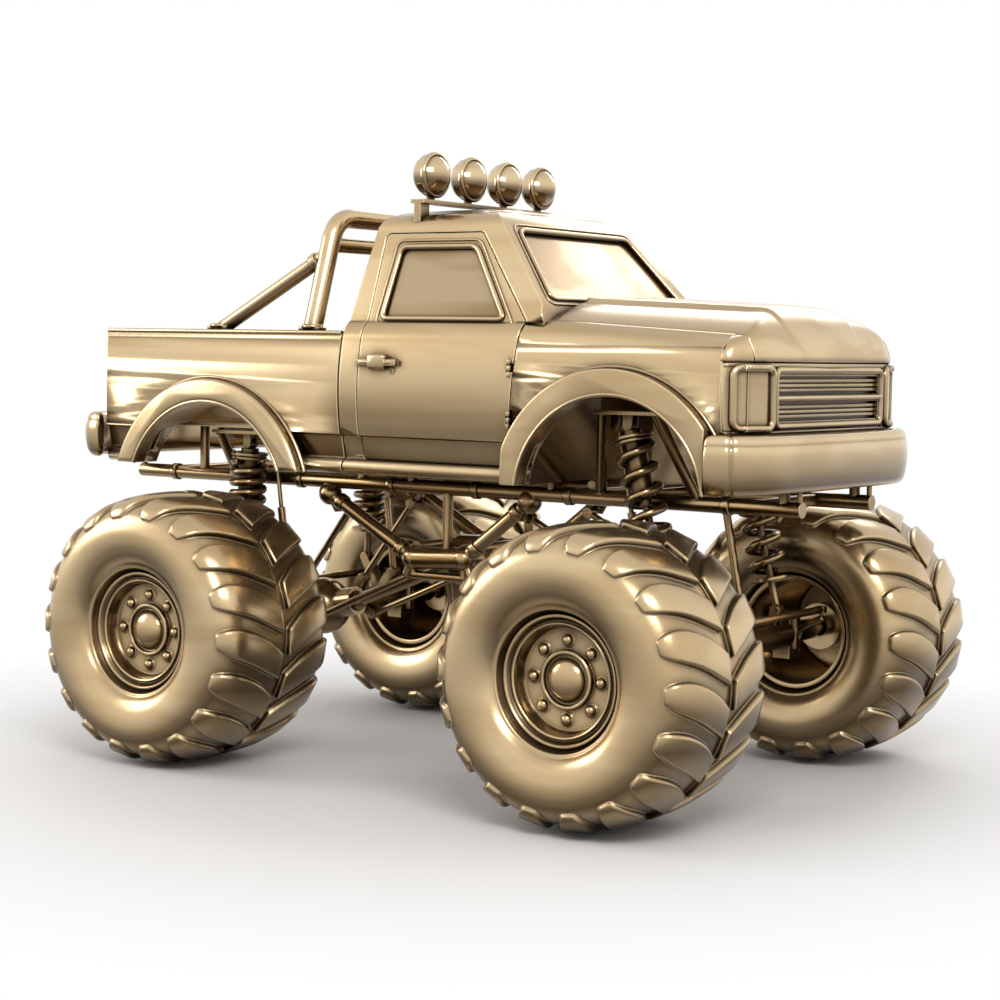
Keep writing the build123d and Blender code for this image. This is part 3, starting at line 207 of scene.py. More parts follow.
# Gold finishes: one polished coat, with painted shade in the recesses, a painted reflection that follows how a face
# leans, and a painted highlight along the edges
# Per coat: light is the lit colour, the darkest colour is the painted shade colour, reach is how far the painted
# recess shade looks, edge is the rounding radius that also sets the painted edge highlight, and under is how much of
# the painted reflection by lean is used
finishes = {
    "gold_body": {"light": (0.75, 0.565, 0.325), "paintedShadeColour": (0.045, 0.022, 0.007), "rough": 0.20, "grain": 0.05,
                  "reach": 0.19, "edge": 0.016, "under": 0.94, "streak": 0.42},
    "gold_frame": {"light": (0.60, 0.420, 0.215), "paintedShadeColour": (0.036, 0.017, 0.005), "rough": 0.20, "grain": 0.07,
                   "reach": 0.26, "edge": 0.008, "under": 0.94, "streak": 0.40},
    "gold_trim": {"light": (0.77, 0.585, 0.345), "paintedShadeColour": (0.045, 0.022, 0.007), "rough": 0.17, "grain": 0.04,
                  "reach": 0.14, "edge": 0.009, "under": 0.96, "streak": 0.25},
    "gold_wheel": {"light": (0.70, 0.515, 0.285), "paintedShadeColour": (0.036, 0.018, 0.006), "rough": 0.18, "grain": 0.05,
                   "reach": 0.12, "edge": 0.007, "under": 0.85, "streak": 0.30},
    "gold_tyre": {"light": (0.70, 0.525, 0.300), "paintedShadeColour": (0.032, 0.016, 0.005), "rough": 0.24, "grain": 0.07,
                  "reach": 0.17, "edge": 0.012, "under": 0.90, "streak": 0.35},
    "gold_glass": {"light": (0.50, 0.375, 0.225), "paintedShadeColour": (0.10, 0.055, 0.018), "rough": 0.15, "grain": 0.01,
                   "reach": 0.08, "edge": 0.004, "under": 0.25, "streak": 0.70},
    "gold_lamp": {"light": (0.78, 0.600, 0.360), "paintedShadeColour": (0.060, 0.030, 0.010), "rough": 0.09, "grain": 0.02,
                  "reach": 0.10, "edge": 0.005, "under": 0.96, "streak": 0.25},
    "gold_interior": {"light": (0.40, 0.280, 0.150), "paintedShadeColour": (0.05, 0.024, 0.008), "rough": 0.40, "grain": 0.12,
                      "reach": 0.20, "edge": 0.006, "under": 0.50, "streak": 0.30},
}


# Painted reflection by how far a face leans, from straight down to straight up: a dark painted band on faces that
# lean under, and a painted highlight where a face looks slightly upward
paintedReflectionTones = [(place, (tone, tone, tone, 1.0)) for place, tone in (
    (0.0, 0.30), (0.20, 0.34), (0.33, 0.02), (0.42, 0.18), (0.50, 0.58), (0.57, 0.92), (0.68, 1.0), (0.82, 0.80),
    (1.0, 0.60),
)]


# What all coats share; a span holds where a mask starts and how far it runs
plating = {
    "drawn": {"Scale": (0.22, 0.8, 1.9), "Rotation": (0.0, 0.10, 0.0)},
    "cloud": {"Scale": 2.1, "Detail": 2.0, "Distortion": 0.5},
    "fine": {"Scale": 42.0, "Detail": 4.0},
    "raySamples": 4,
    # nearShare, nearSpan and wideSpan set the painted shade in recesses, creases and between parts
    "nearShare": 0.35,
    "nearSpan": (0.38, 0.54),
    "wideSpan": (0.28, 0.60),
    # edgeGain, paler and edgeShare set the painted highlight along edges
    "edgeGain": 6.0,
    "streakSpan": (0.56, 0.16),
    "streakTint": (0.60, 0.50, 0.36, 1),
    "paler": (1.30, 0.08),
    "edgeShare": 0.8,
    "roughShade": 0.16,
    "roughStreak": 0.06,
    "bump": {"Strength": 0.10, "Distance": 0.002},
    "metal": {"Metallic": 0.95, "Coat Weight": 0.12, "Coat Roughness": 0.08},
}


def makeFinish(name, f):
    p = plating
    (nearFrom, nearRun), (wideFrom, wideRun), (streakFrom, streakRun) = p["nearSpan"], p["wideSpan"], p["streakSpan"]
    gain, lift = p["paler"]
    material = bpy.data.materials.new(name)
    bench = NodeBench(material)
    coords = bench.add("TexCoord", output=3)
    drawn = bench.add("Mapping", None, {"Vector": coords, **p["drawn"]})
    cloud = bench.add("TexNoise", None, {"Vector": drawn, **p["cloud"]})
    fine = bench.add("TexNoise", None, {"Vector": coords, **p["fine"]})
    rays = {"samples": p["raySamples"]}
    # Painted shade: two ambient occlusion masks darken the colour in recesses, creases and between parts
    openWide = bench.add("AmbientOcclusion", rays, {"Distance": f["reach"]}, 1)
    openNear = bench.add("AmbientOcclusion", rays, {"Distance": f["reach"] * p["nearShare"]}, 1)
    near = ((openNear - nearFrom) / nearRun).clamped()
    shade = near * (((openWide - wideFrom) / wideRun).clamped() * 0.5 + 0.5)
    rounded = bench.add("Bevel", rays, {"Radius": f["edge"]})
    facing = bench.add("NewGeometry", output=1)
    # Painted highlight: where the rounded normal turns from the face's own, the colour is mixed toward a paler tint
    # along the edges
    turn = bench.add("VectorMath", {"operation": "DOT_PRODUCT"}, [rounded, facing], 1)
    edge = ((1 - turn) * p["edgeGain"]).clamped()
    # Painted reflection and shade: the colour follows how far the rounded normal leans, through the ramp above
    upward = bench.add("SeparateXYZ", None, [rounded], 2)
    paintedReflection = bench.add("ValToRGB", {"ramp": paintedReflectionTones}, [upward * 0.5 + 0.5])
    # Painted shade and reflection together: the recess shade squared, times the lean ramp in the share that under
    # gives; the painted shade colour fills where this is low
    tone = shade * shade * (1 - f["under"] + paintedReflection * f["under"])
    base = bench.add("Mix", {"data_type": "RGBA"}, {"Factor": tone, "A": (*f["paintedShadeColour"], 1), "B": (*f["light"], 1)}, 2)
    streak = ((streakFrom - cloud) / streakRun).clamped() * f["streak"]
    warm = bench.add("Mix", {"data_type": "RGBA", "blend_type": "MULTIPLY"},
                     {"Factor": streak, "A": base, "B": p["streakTint"]}, 2)
    # the paler tint of the painted edge highlight
    pale = (*(min(1.0, c * gain + lift) for c in f["light"]), 1)
    edgeHighlighted = bench.add("Mix", {"data_type": "RGBA"}, {"Factor": edge * shade * p["edgeShare"], "A": warm, "B": pale}, 2)
    rough = f["rough"] + (fine - 0.5) * f["grain"] + (1 - shade) * p["roughShade"] + streak * p["roughStreak"]
    bump = bench.add("Bump", None, {**p["bump"], "Height": fine, "Normal": rounded})
    gold = bench.add("BsdfPrincipled", None, {"Base Color": edgeHighlighted, "Roughness": rough, "Normal": bump, **p["metal"]})
    bench.add("OutputMaterial", None, {"Surface": gold})
    return material


coats = {name: makeFinish(name, f) for name, f in finishes.items()}
print("finishes made:", len(coats))


def paint(obj, slotName):
    obj.data.materials.clear()
    obj.data.materials.append(coats[slotName])


for sub in record["subparts"]:
    paint(frame["nodes"][sub["node"]], sub["material_slot"])
print("frame painted")


# Hand tools that the pieces share: one object in edit mode at a time, nothing else selected
def clearSelection():
    if bpy.context.object and bpy.context.object.mode != "OBJECT":
        bpy.ops.object.mode_set(mode="OBJECT")
    bpy.ops.object.select_all(action="DESELECT")


def startPiece(primitive, name, **settings):
    clearSelection()
    primitive(**settings)
    piece = bpy.context.object
    piece.name = name
    bpy.ops.object.transform_apply(location=True, rotation=True, scale=True)
    return piece


def pick(obj):
    clearSelection()
    obj.select_set(True)
    bpy.context.view_layer.objects.active = obj


def editAll(obj, *steps):
    pick(obj)
    bpy.ops.object.mode_set(mode="EDIT")
    bpy.ops.mesh.select_all(action="SELECT")
    for step, settings in steps:
        step(**settings)
    bpy.ops.object.mode_set(mode="OBJECT")


def tidyMesh(obj, gap=0.0002):
    editAll(
        obj,
        (bpy.ops.mesh.remove_doubles, {"threshold": gap}),
        (bpy.ops.mesh.dissolve_degenerate, {"threshold": gap}),
        (bpy.ops.mesh.normals_make_consistent, {"inside": False}),
    )


def useModifier(obj, kind, **settings):
    pick(obj)
    modifier = obj.modifiers.new(kind.lower(), kind)
    for name, value in settings.items():
        setattr(modifier, name, value)
    bpy.ops.object.modifier_apply(modifier=modifier.name)


def smooth(obj, degrees=35):
    pick(obj)
    bpy.ops.object.shade_smooth_by_angle(angle=math.radians(degrees))


def join(pieces, name):
    clearSelection()
    for piece in pieces:
        piece.select_set(True)
    bpy.context.view_layer.objects.active = pieces[0]
    bpy.ops.object.join()
    whole = bpy.context.object
    whole.name = name
    return whole


def copyOf(obj, name, move=(0, 0, 0), turn=None):
    twin = obj.copy()
    twin.data = obj.data.copy()
    twin.name = name
    bpy.context.collection.objects.link(twin)
    if turn is not None:
        twin.data.transform(turn.to_4x4())
    twin.data.transform(Matrix.Translation(move))
    return twin


def finishPiece(obj, body, slotName, *nodes):
    paint(obj, slotName)
    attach(obj, body)
    if nodes:
        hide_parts(*nodes)
    return obj


# A skin through rows of points: closed rows join up, and capped ends close to a point
def skin(name, rows, closed=True, caps=True):
    rows = [list(row) + ([row[0]] if closed else []) for row in rows]
    if caps:
        for end, row in ((0, rows[0]), (len(rows) + 1, rows[-1])):
            middle = sum((Vector(p) for p in row[:-1]), Vector()) / (len(row) - 1)
            rows.insert(end, [middle] * len(row))
    piece = startPiece(bpy.ops.mesh.primitive_grid_add, name, x_subdivisions=len(rows[0]) - 1,
                       y_subdivisions=len(rows) - 1, size=1.0)
    for vert, place in zip(piece.data.vertices, (p for row in rows for p in row)):
        vert.co = place
    tidyMesh(piece, 0.00005)
    return piece


# A path through corners, each one rounded off from a reach before it to a reach after it
def softened(corners, reach, steps=5, loop=True):
    path = []
    last = len(corners) - 1
    for i, corner in enumerate(corners):
        here = Vector(corner)
        if not loop and i in (0, last):
            path.append(here)
            continue
        start = here + (Vector(corners[i - 1]) - here).normalized() * reach
        stop = here + (Vector(corners[(i + 1) % len(corners)]) - here).normalized() * reach
        for k in range(steps + 1):
            t = k / steps
            path.append(start * (1 - t) ** 2 + here * 2 * t * (1 - t) + stop * t ** 2)
    return path


# A round tube along a path, capped at both ends unless it closes on itself
def pipe(name, path, radius, sides=14, loop=False):
    points = [Vector(p) for p in path]
    rows = []
    side = None
    for i, point in enumerate(points):
        before = points[i - 1] if i or loop else point
        after = points[(i + 1) % len(points)] if loop or i + 1 < len(points) else point
        run = (after - before).normalized()
        side = run.orthogonal() if side is None else side
        side = (side - run * side.dot(run)).normalized()
        other = run.cross(side)
        rows.append([
            point + (side * math.cos(2 * math.pi * k / sides) + other * math.sin(2 * math.pi * k / sides)) * radius
            for k in range(sides)
        ])
    if loop:
        rows.append(rows[0])
    return skin(name, rows, caps=not loop)


# A merged copy of a CAD node, with the sharp edges that a test picks rounded over
def softNode(node, name, *rounds):
    source = frame["nodes"][node]
    mesh = source.data.copy()
    mesh.transform(source.matrix_world)
    piece = bpy.data.objects.new(name, mesh)
    bpy.context.collection.objects.link(piece)
    tidyMesh(piece, 0.00005)
    editAll(piece, (bpy.ops.mesh.dissolve_limited, {"angle_limit": math.radians(1.0)}))
    for test, offset, segments in rounds:
        pick(piece)
        bpy.ops.object.mode_set(mode="EDIT")
        bpy.ops.mesh.select_mode(type="EDGE")
        bpy.ops.mesh.select_all(action="DESELECT")
        mesh = bmesh.from_edit_mesh(piece.data)
        for edge in mesh.edges:
            sharp = edge.is_manifold and edge.calc_face_angle() > 0.5
            edge.select = sharp and all(test(v.co) for v in edge.verts)
        bmesh.update_edit_mesh(piece.data)
        bpy.ops.mesh.bevel(offset=offset, segments=segments, affect="EDGES", clamp_overlap=True)
        bpy.ops.object.mode_set(mode="OBJECT")
    smooth(piece, 35)
    return piece


# A closed outline of (across, radius) pairs turned round the Y axis
def spunPiece(name, outline, steps):
    piece = startPiece(bpy.ops.mesh.primitive_circle_add, name, vertices=len(outline), radius=1.0,
                       fill_type="NOTHING")
    for vert, (across, radius) in zip(piece.data.vertices, outline):
        vert.co = (0.0, across, radius)
    editAll(piece, (bpy.ops.mesh.spin, {
        "steps": steps, "angle": 2 * math.pi, "center": (0, 0, 0), "axis": (0, 1, 0), "dupli": False,
    }))
    tidyMesh(piece)
    return piece


# Tyre: a round, high-volume carcass with curved bar lugs that run down over the shoulder
tyreSet = {
    "outline": [
        (0.3896, 0.3454), (0.3896, 0.3600), (0.4040, 0.3745), (0.4240, 0.3800), (0.4400, 0.3830), (0.4470, 0.3900),
        (0.4440, 0.3980), (0.4500, 0.4060), (0.4740, 0.4230), (0.4950, 0.4620), (0.5080, 0.5150), (0.5130, 0.5700),
        (0.5095, 0.6250), (0.4970, 0.6760), (0.4730, 0.7200),
        (0.4330, 0.7530), (0.3780, 0.7740), (0.2990, 0.7870), (0.2000, 0.7950), (0.1000, 0.7985), (0.0, 0.7995),
    ],
    "steps": 96,
    "lugs": 18,
    "stations": 15,
    "sweep": math.radians(13),
    "curl": 1.7,
    "width": 0.182,
    "height": 0.0380,
    "tail": 0.012,
    "root": 0.014,
    "flank": 0.09,
    "tip": 0.42,
    "heel": 0.86,
    "reach": (0.03, 0.56),
    "bevel": 0.014,
    "widest": 0.5190,
}


# The point at a share of a line's length, and the line's normal there
def pointOnLine(line, share):
    lengths = [math.dist(a, b) for a, b in zip(line, line[1:])]
    left = share * sum(lengths)
    for a, b, length in zip(line, line[1:], lengths):
        if left <= length:
            break
        left -= length
    part = min(1.0, left / length)
    place = tuple(p + (q - p) * part for p, q in zip(a, b))
    run = ((b[0] - a[0]) / length, (b[1] - a[1]) / length)
    return place, (-run[1], run[0])


def makeLug(s, name):
    lug = startPiece(bpy.ops.mesh.primitive_cube_add, name, size=1.0)
    pick(lug)
    bpy.ops.object.mode_set(mode="EDIT")
    mesh = bmesh.from_edit_mesh(lug.data)
    bpy.ops.mesh.select_all(action="DESELECT")
    for edge in mesh.edges:
        edge.select = abs(edge.verts[0].co.x - edge.verts[1].co.x) > 0.5
    bmesh.update_edit_mesh(lug.data)
    bpy.ops.mesh.subdivide(number_cuts=s["stations"] - 1)
    bpy.ops.object.mode_set(mode="OBJECT")
    walk = s["outline"][::-1]
    low, high = s["reach"]
    for vert in lug.data.vertices:
        run, side, up = vert.co.x + 0.5, vert.co.y * 2, vert.co.z + 0.5
        (across, radius), normal = pointOnLine(walk, low + (high - low) * run)
        fade = 1 - run ** 6
        tall = s["tail"] + (s["height"] - s["tail"]) * fade
        lift = tall if up > 0.5 else -s["root"]
        narrowing = (s["tip"] + (1 - s["tip"]) * fade) * (s["heel"] + (1 - s["heel"]) * min(1, run * 4))
        wide = s["width"] * (0.5 + s["flank"] * (1 - up)) * narrowing
        angle = s["sweep"] * (1 - run) ** s["curl"] + side * wide / radius
        across = min(across + normal[0] * lift, s["widest"])
        radius += normal[1] * lift
        vert.co = (radius * math.sin(angle), across, radius * math.cos(angle))
    tidyMesh(lug)
    useModifier(lug, "BEVEL", width=s["bevel"], segments=2, limit_method="ANGLE", angle_limit=math.radians(50))
    return lug


def makeTyre(s):
    side = s["outline"]
    whole = side + [(-a, r) for a, r in reversed(side[:-1])]
    carcass = spunPiece("tyreCarcass", whole, s["steps"])
    useModifier(carcass, "SUBSURF", levels=1, render_levels=1)
    bars = []
    for flip in (1, -1):
        lug = makeLug(s, "lug")
        if flip < 0:
            for vert in lug.data.vertices:
                vert.co.y = -vert.co.y
            tidyMesh(lug)
        for i in range(s["lugs"]):
            step = 2 * math.pi / s["lugs"] * (i + (0.5 if flip < 0 else 0.0))
            bars.append(copyOf(lug, "bar", turn=Matrix.Rotation(step, 3, "Y")))
        bpy.data.objects.remove(lug)
    tyre = join([carcass] + bars, "tyreMaster")
    smooth(tyre, 40)
    return tyre


# Rim: rolled lips, stepped dish, bolted disc and a domed hub
rimSet = {
    "outline": [
        (0.3900, 0.3600), (0.4020, 0.3620), (0.4095, 0.3560), (0.4098, 0.3470), (0.4040, 0.3400), (0.3960, 0.3370),
        (0.3890, 0.3320), (0.3800, 0.3240), (0.3800, 0.3180), (0.3900, 0.3160), (0.3960, 0.3090), (0.3930, 0.3010),
        (0.3820, 0.2970), (0.3600, 0.2930), (0.3300, 0.2860), (0.3180, 0.2760), (0.3150, 0.2640), (0.3150, 0.1640),
        (0.3240, 0.1600), (0.3400, 0.1590), (0.3450, 0.1530), (0.3440, 0.1430), (0.3380, 0.1370), (0.3270, 0.1350),
        (0.3240, 0.1270), (0.3290, 0.1180), (0.3420, 0.1120), (0.3560, 0.1000), (0.3680, 0.0800), (0.3760, 0.0540),
        (0.3800, 0.0260), (0.3810, 0.0), (0.2950, 0.0), (0.2950, 0.2750), (0.2800, 0.3050), (-0.3700, 0.3180),
        (-0.4060, 0.3300), (-0.4098, 0.3450), (-0.4090, 0.3570), (-0.4020, 0.3620), (-0.3900, 0.3600),
        (-0.3898, 0.3451), (0.3898, 0.3451),
    ],
    "steps": 96,
    "nutCircle": 0.214,
    "nutRadius": 0.0320,
    "washerRadius": 0.041,
    "washerRise": 0.006,
    "nuts": 8,
    "face": 0.315,
    "sleeve": [(0.300, 0.060), (0.300, 0.150), (-0.050, 0.150), (-0.050, 0.060)],
}


def makeRim(s):
    rim = spunPiece("rimDish", s["outline"], s["steps"])
    nut = startPiece(bpy.ops.mesh.primitive_uv_sphere_add, "nut", segments=20, ring_count=10, radius=s["nutRadius"])
    for vert in nut.data.vertices:
        vert.co = (vert.co.x, vert.co.z, vert.co.y)
        if vert.co.y < 0:
            vert.co.y = -0.002
    tidyMesh(nut)
    washer = startPiece(bpy.ops.mesh.primitive_cylinder_add, "washer", vertices=24, radius=s["washerRadius"],
                        depth=s["washerRise"] + 0.004, rotation=(math.pi / 2, 0, 0))
    useModifier(washer, "BEVEL", width=0.003, segments=2, limit_method="ANGLE")
    nut.data.transform(Matrix.Translation((0, s["washerRise"] - 0.001, 0)))
    bolt = join([washer, nut], "bolt")
    bolts = []
    for i in range(s["nuts"]):
        angle = 2 * math.pi * i / s["nuts"]
        place = (s["nutCircle"] * math.sin(angle), s["face"] + 0.001, s["nutCircle"] * math.cos(angle))
        bolts.append(copyOf(bolt, "bolt", move=place))
    bpy.data.objects.remove(bolt)
    sleeve = spunPiece("sleeve", s["sleeve"], s["steps"] // 2)
    whole = join([rim, sleeve] + bolts, "rimMaster")
    smooth(whole, 35)
    return whole


tyreMaster = makeTyre(tyreSet)
rimMaster = makeRim(rimSet)
wheelPlaces = {
    "front_right": (1.775, -1.350, 0.838),
    "front_left": (1.775, 1.350, 0.838),
    "rear_right": (-1.275, -1.350, 0.838),
    "rear_left": (-1.275, 1.350, 0.838),
}
for corner, place in wheelPlaces.items():
    turned = Matrix.Rotation(math.pi if place[1] < 0 else 0.0, 3, "Z")
    tyre = copyOf(tyreMaster, "tyreRubber_" + corner, move=place)
    finishPiece(tyre, "wheel_" + corner, "gold_tyre", "tyre_" + corner)
    rim = copyOf(rimMaster, "rimDish_" + corner, move=place, turn=turned)
    finishPiece(rim, "wheel_" + corner, "gold_wheel", "rim_" + corner)
for master in (tyreMaster, rimMaster):
    bpy.data.objects.remove(master)
print("wheels made")

# Front end: the curves that the hood, the fender noses, the lamps and the bumper share
nose = {
    "clipRear": 0.880,
    "clipFront": 2.485,
    "hoodRear": 1.100,
    "hoodHalf": 0.862,
    "seamHalf": 0.868,
    "lip": 2.540,
    "roll": [(1.950, 2.900), (2.330, 2.790), (2.465, 2.575)],
    "plan": [(2.465, 0.0), (2.450, 0.690), (2.412, 0.880), (2.340, 1.005)],
    "crown": [(2.925, 2.845), (2.745, 2.650)],
    "crownHalf": 0.925,
    "crownPower": 2.85,
    "soften": 0.022,
    "panel": {"rear": 0.500, "front": 0.420, "rise": 0.022, "edge": 0.032},
}


def circleThrough(a, b, c):
    (ax, ay), (bx, by), (cx, cy) = a, b, c
    d = 2 * (ax * (by - cy) + bx * (cy - ay) + cx * (ay - by))
    ux = ((ax * ax + ay * ay) * (by - cy) + (bx * bx + by * by) * (cy - ay) + (cx * cx + cy * cy) * (ay - by)) / d
    uy = ((ax * ax + ay * ay) * (cx - bx) + (bx * bx + by * by) * (ax - cx) + (cx * cx + cy * cy) * (bx - ax)) / d
    return ux, uy, math.dist((ux, uy), a)


def planFront(across):
    half = abs(across)
    (x0, _), (x1, y1) = nose["plan"][:2]
    if half <= y1:
        return x0 + (x1 - x0) * half / y1
    cx, cy, radius = circleThrough(*nose["plan"][1:])
    return cx + math.sqrt(max(0.0, radius ** 2 - (half - cy) ** 2))


def crownHeight(x, across):
    share = (x - nose["clipRear"]) / (nose["clipFront"] - nose["clipRear"])
    centre, edge = (a + (b - a) * share for a, b in nose["crown"])
    return centre - (centre - edge) * (abs(across) / nose["crownHalf"]) ** nose["crownPower"]


def rollHeight(x):
    cx, cz, radius = circleThrough(*nose["roll"])
    return cz + math.sqrt(max(0.0, radius ** 2 - (max(x, cx) - cx) ** 2))


def hoodTop(x, across):
    a = crownHeight(x, across)
    b = rollHeight(x + nose["plan"][0][0] - planFront(across))
    h = min(1.0, max(0.0, 0.5 + 0.5 * (b - a) / nose["soften"]))
    height = b + (a - b) * h - nose["soften"] * h * (1 - h)
    panel = nose["panel"]
    share = (x - nose["hoodRear"]) / (nose["clipFront"] - nose["hoodRear"])
    half = panel["rear"] + (panel["front"] - panel["rear"]) * share
    step = min(1.0, max(0.0, (half - abs(across)) / panel["edge"] + 0.5))
    return height + panel["rise"] * (step * step * (3 - 2 * step) - 0.5) * (1 - share ** 8)


# Hood: a bowed lid with a raised middle, its front rolled down to the grille
hoodSet = {
    "columns": 120,
    "rows": 56,
    "skin": 0.038,
    "rim": (0.020, 0.010),
    "tuck": 0.030,
    "lipDepth": 0.040,
    "lipGap": 0.004,
    "lug": (1.130, 0.250, 2.842),
    "lugRadius": 0.022,
    "lugHalf": 0.014,
    "pinRadius": 0.009,
    "pinHalf": 0.044,
    "foot": 0.040,
}


def makeHood(s):
    half = nose["hoodHalf"]
    rimWidth, rimDrop = s["rim"]
    lip = nose["lip"] + s["lipGap"]
    rows = []
    for i in range(s["rows"] + 1):
        share = 1 - (1 - i / s["rows"]) ** 1.5
        top = []
        under = []
        for j in range(s["columns"] + 1):
            across = half * (2 * j / s["columns"] - 1)
            x = nose["hoodRear"] + (planFront(across) - nose["hoodRear"]) * share
            z = hoodTop(x, across)
            rim = max(0.0, 1 - (half - abs(across)) / rimWidth)
            z -= rimDrop * rim * rim
            top.append((x, across, z))
            under.append((x - s["tuck"] * share ** 4, across, z - s["skin"]))
        rows.append(top + under[::-1])
    front = rows[-1][:s["columns"] + 1]
    drop = [(x, y, lip) for x, y, z in front]
    inner = [(x - s["lipDepth"], y, lip) for x, y, z in front]
    rows.append(drop + inner[::-1])
    lid = skin("hoodLid", rows)
    useModifier(lid, "BEVEL", width=0.006, segments=2, limit_method="ANGLE", angle_limit=math.radians(50))
    x, across, z = s["lug"]
    parts = [lid]
    for side in (1, -1):
        at = side * across
        parts.append(pipe("hoodPin", [(x, at - s["pinHalf"], z), (x, at + s["pinHalf"], z)], s["pinRadius"]))
        parts.append(pipe("hoodEye", [(x, at - s["lugHalf"], z), (x, at + s["lugHalf"], z)], s["lugRadius"], 20))
        foot = startPiece(bpy.ops.mesh.primitive_cube_add, "hoodFoot", size=1.0, scale=(
            2 * s["lugRadius"], 2 * s["lugHalf"], s["foot"]), location=(x, at, z + s["lugRadius"]))
        useModifier(foot, "BEVEL", width=0.003, segments=2)
        parts.append(foot)
    whole = join(parts, "hoodLid")
    smooth(whole, 40)
    return finishPiece(whole, "hood", "gold_body", "hood")


makeHood(hoodSet)
print("hood made")


# Fender noses: the fenders' front corners, round in plan, above the lamps
cornerSet = {
    "section": [(0.004, 0.0), (0.0, 0.06), (0.0, 0.94), (0.06, 1.0), (0.40, 0.86), (0.68, 0.69), (0.86, 0.50),
                (0.96, 0.28), (1.0, 0.08), (0.99, 0.0)],
    "places": [2.290, 2.310, 2.330, 2.350, 2.368, 2.384, 2.398, 2.408, 2.4155],
    "widest": 1.016,
    "lipGap": 0.003,
}


def makeFenderNoses(s):
    base, low = nose["seamHalf"], nose["lip"] + s["lipGap"]
    for side in (1, -1):
        rows = []
        for x in s["places"]:
            wide = min(s["widest"], planOut(x)) - base
            tall = hoodTop(x, base) - low
            rows.append([(x, side * (base + wide * a), low + tall * h) for a, h in s["section"]])
        corner = skin("fenderNose", rows)
        useModifier(corner, "BEVEL", width=0.004, segments=2, limit_method="ANGLE", angle_limit=math.radians(60))
        smooth(corner, 50)
        finishPiece(corner, "truck", "gold_body")


def planOut(x):
    cx, cy, radius = circleThrough(*nose["plan"][1:])
    return cy + math.sqrt(max(0.0, radius ** 2 - (x - cx) ** 2)) if x > cx else cornerSet["widest"]


makeFenderNoses(cornerSet)
print("fender noses made")

# Flares: the CAD fenders and bed with their flares rounded, and beads along both rims
flareSet = {
    "face": 1.0945,
    "roundness": 0.060,
    "beads": [(0.773, 1.022, 0.015), (0.622, 1.086, 0.013)],
    "arches": {"fenders": (1.620, 1.724, 0.616), "bed": (-1.380, 1.564, 0.656)},
    "low": 1.812,
    "reach": {"fenders": (0.975, 2.292), "bed": (-2.6, 2.6)},
}


def makeFlares(s):
    for node, (cx, cz, radius) in s["arches"].items():
        panel = softNode(node, node + "Soft", (lambda v: abs(v.y) > s["face"], s["roundness"], 5))
        finishPiece(panel, "truck", "gold_body", node)
        for grow, across, thick in s["beads"]:
            r = radius - s["arches"]["fenders"][2] + grow
            first = math.asin((s["low"] - cz) / r)
            low, high = s["reach"][node]
            for side in (1, -1):
                path = []
                for k in range(73):
                    angle = first + (math.pi - 2 * first) * k / 72
                    x, z = cx + r * math.cos(angle), cz + r * math.sin(angle)
                    if low < x < high:
                        path.append((x, side * across, z))
                bead = pipe("flareBead", path, thick, 12)
                smooth(bead, 50)
                finishPiece(bead, "truck", "gold_trim")


makeFlares(flareSet)
print("flares made")

# Bumpers: one rounded bar each, pinched near the corners
bumperSet = {
    "height": {"front": (1.815, 2.150), "rear": (1.830, 2.130)},
    "profile": [
        (0.0, -0.72), (0.15, -0.90), (0.40, -1.0), (0.66, -0.96), (0.83, -0.78), (0.93, -0.52), (0.985, -0.22),
        (1.0, 0.08), (0.985, 0.34), (0.94, 0.53), (0.86, 0.58), (0.89, 0.67), (0.86, 0.79), (0.72, 0.94),
        (0.45, 1.0), (0.15, 0.92), (0.0, 0.74),
    ],
    "front": [
        ((2.250, 1.122), (2.250, 1.046)), ((2.262, 1.125), (2.262, 1.042)), ((2.320, 1.122), (2.310, 1.040)),
        ((2.385, 1.110), (2.350, 1.031)), ((2.400, 1.103), (2.358, 1.024)), ((2.412, 1.095), (2.364, 1.016)),
        ((2.424, 1.087), (2.371, 1.008)), ((2.440, 1.073), (2.382, 0.994)), ((2.482, 1.015), (2.412, 0.940)),
        ((2.512, 0.955), (2.430, 0.896)), ((2.536, 0.880), (2.443, 0.834)), ((2.552, 0.800), (2.452, 0.770)),
        ((2.562, 0.700), (2.462, 0.690)), ((2.570, 0.450), (2.469, 0.450)), ((2.575, 0.200), (2.473, 0.200)),
        ((2.577, 0.0), (2.474, 0.0)),
    ],
    "rear": [
        ((-2.350, 1.058), (-2.350, 0.988)), ((-2.362, 1.060), (-2.362, 0.985)), ((-2.420, 1.060), (-2.400, 0.965)),
        ((-2.470, 1.045), (-2.422, 0.935)), ((-2.520, 1.005), (-2.440, 0.900)), ((-2.556, 0.950), (-2.452, 0.860)),
        ((-2.572, 0.905), (-2.458, 0.830)), ((-2.577, 0.880), (-2.461, 0.810)), ((-2.579, 0.866), (-2.462, 0.800)),
        ((-2.584, 0.850), (-2.464, 0.790)), ((-2.592, 0.800), (-2.467, 0.765)), ((-2.603, 0.600), (-2.470, 0.600)),
        ((-2.610, 0.300), (-2.473, 0.300)), ((-2.6125, 0.0), (-2.474, 0.0)),
    ],
    "pinched": {"front": 5, "rear": 8},
    "pinch": 0.94,
    "groove": 0.80,
    "end": 0.90,
}


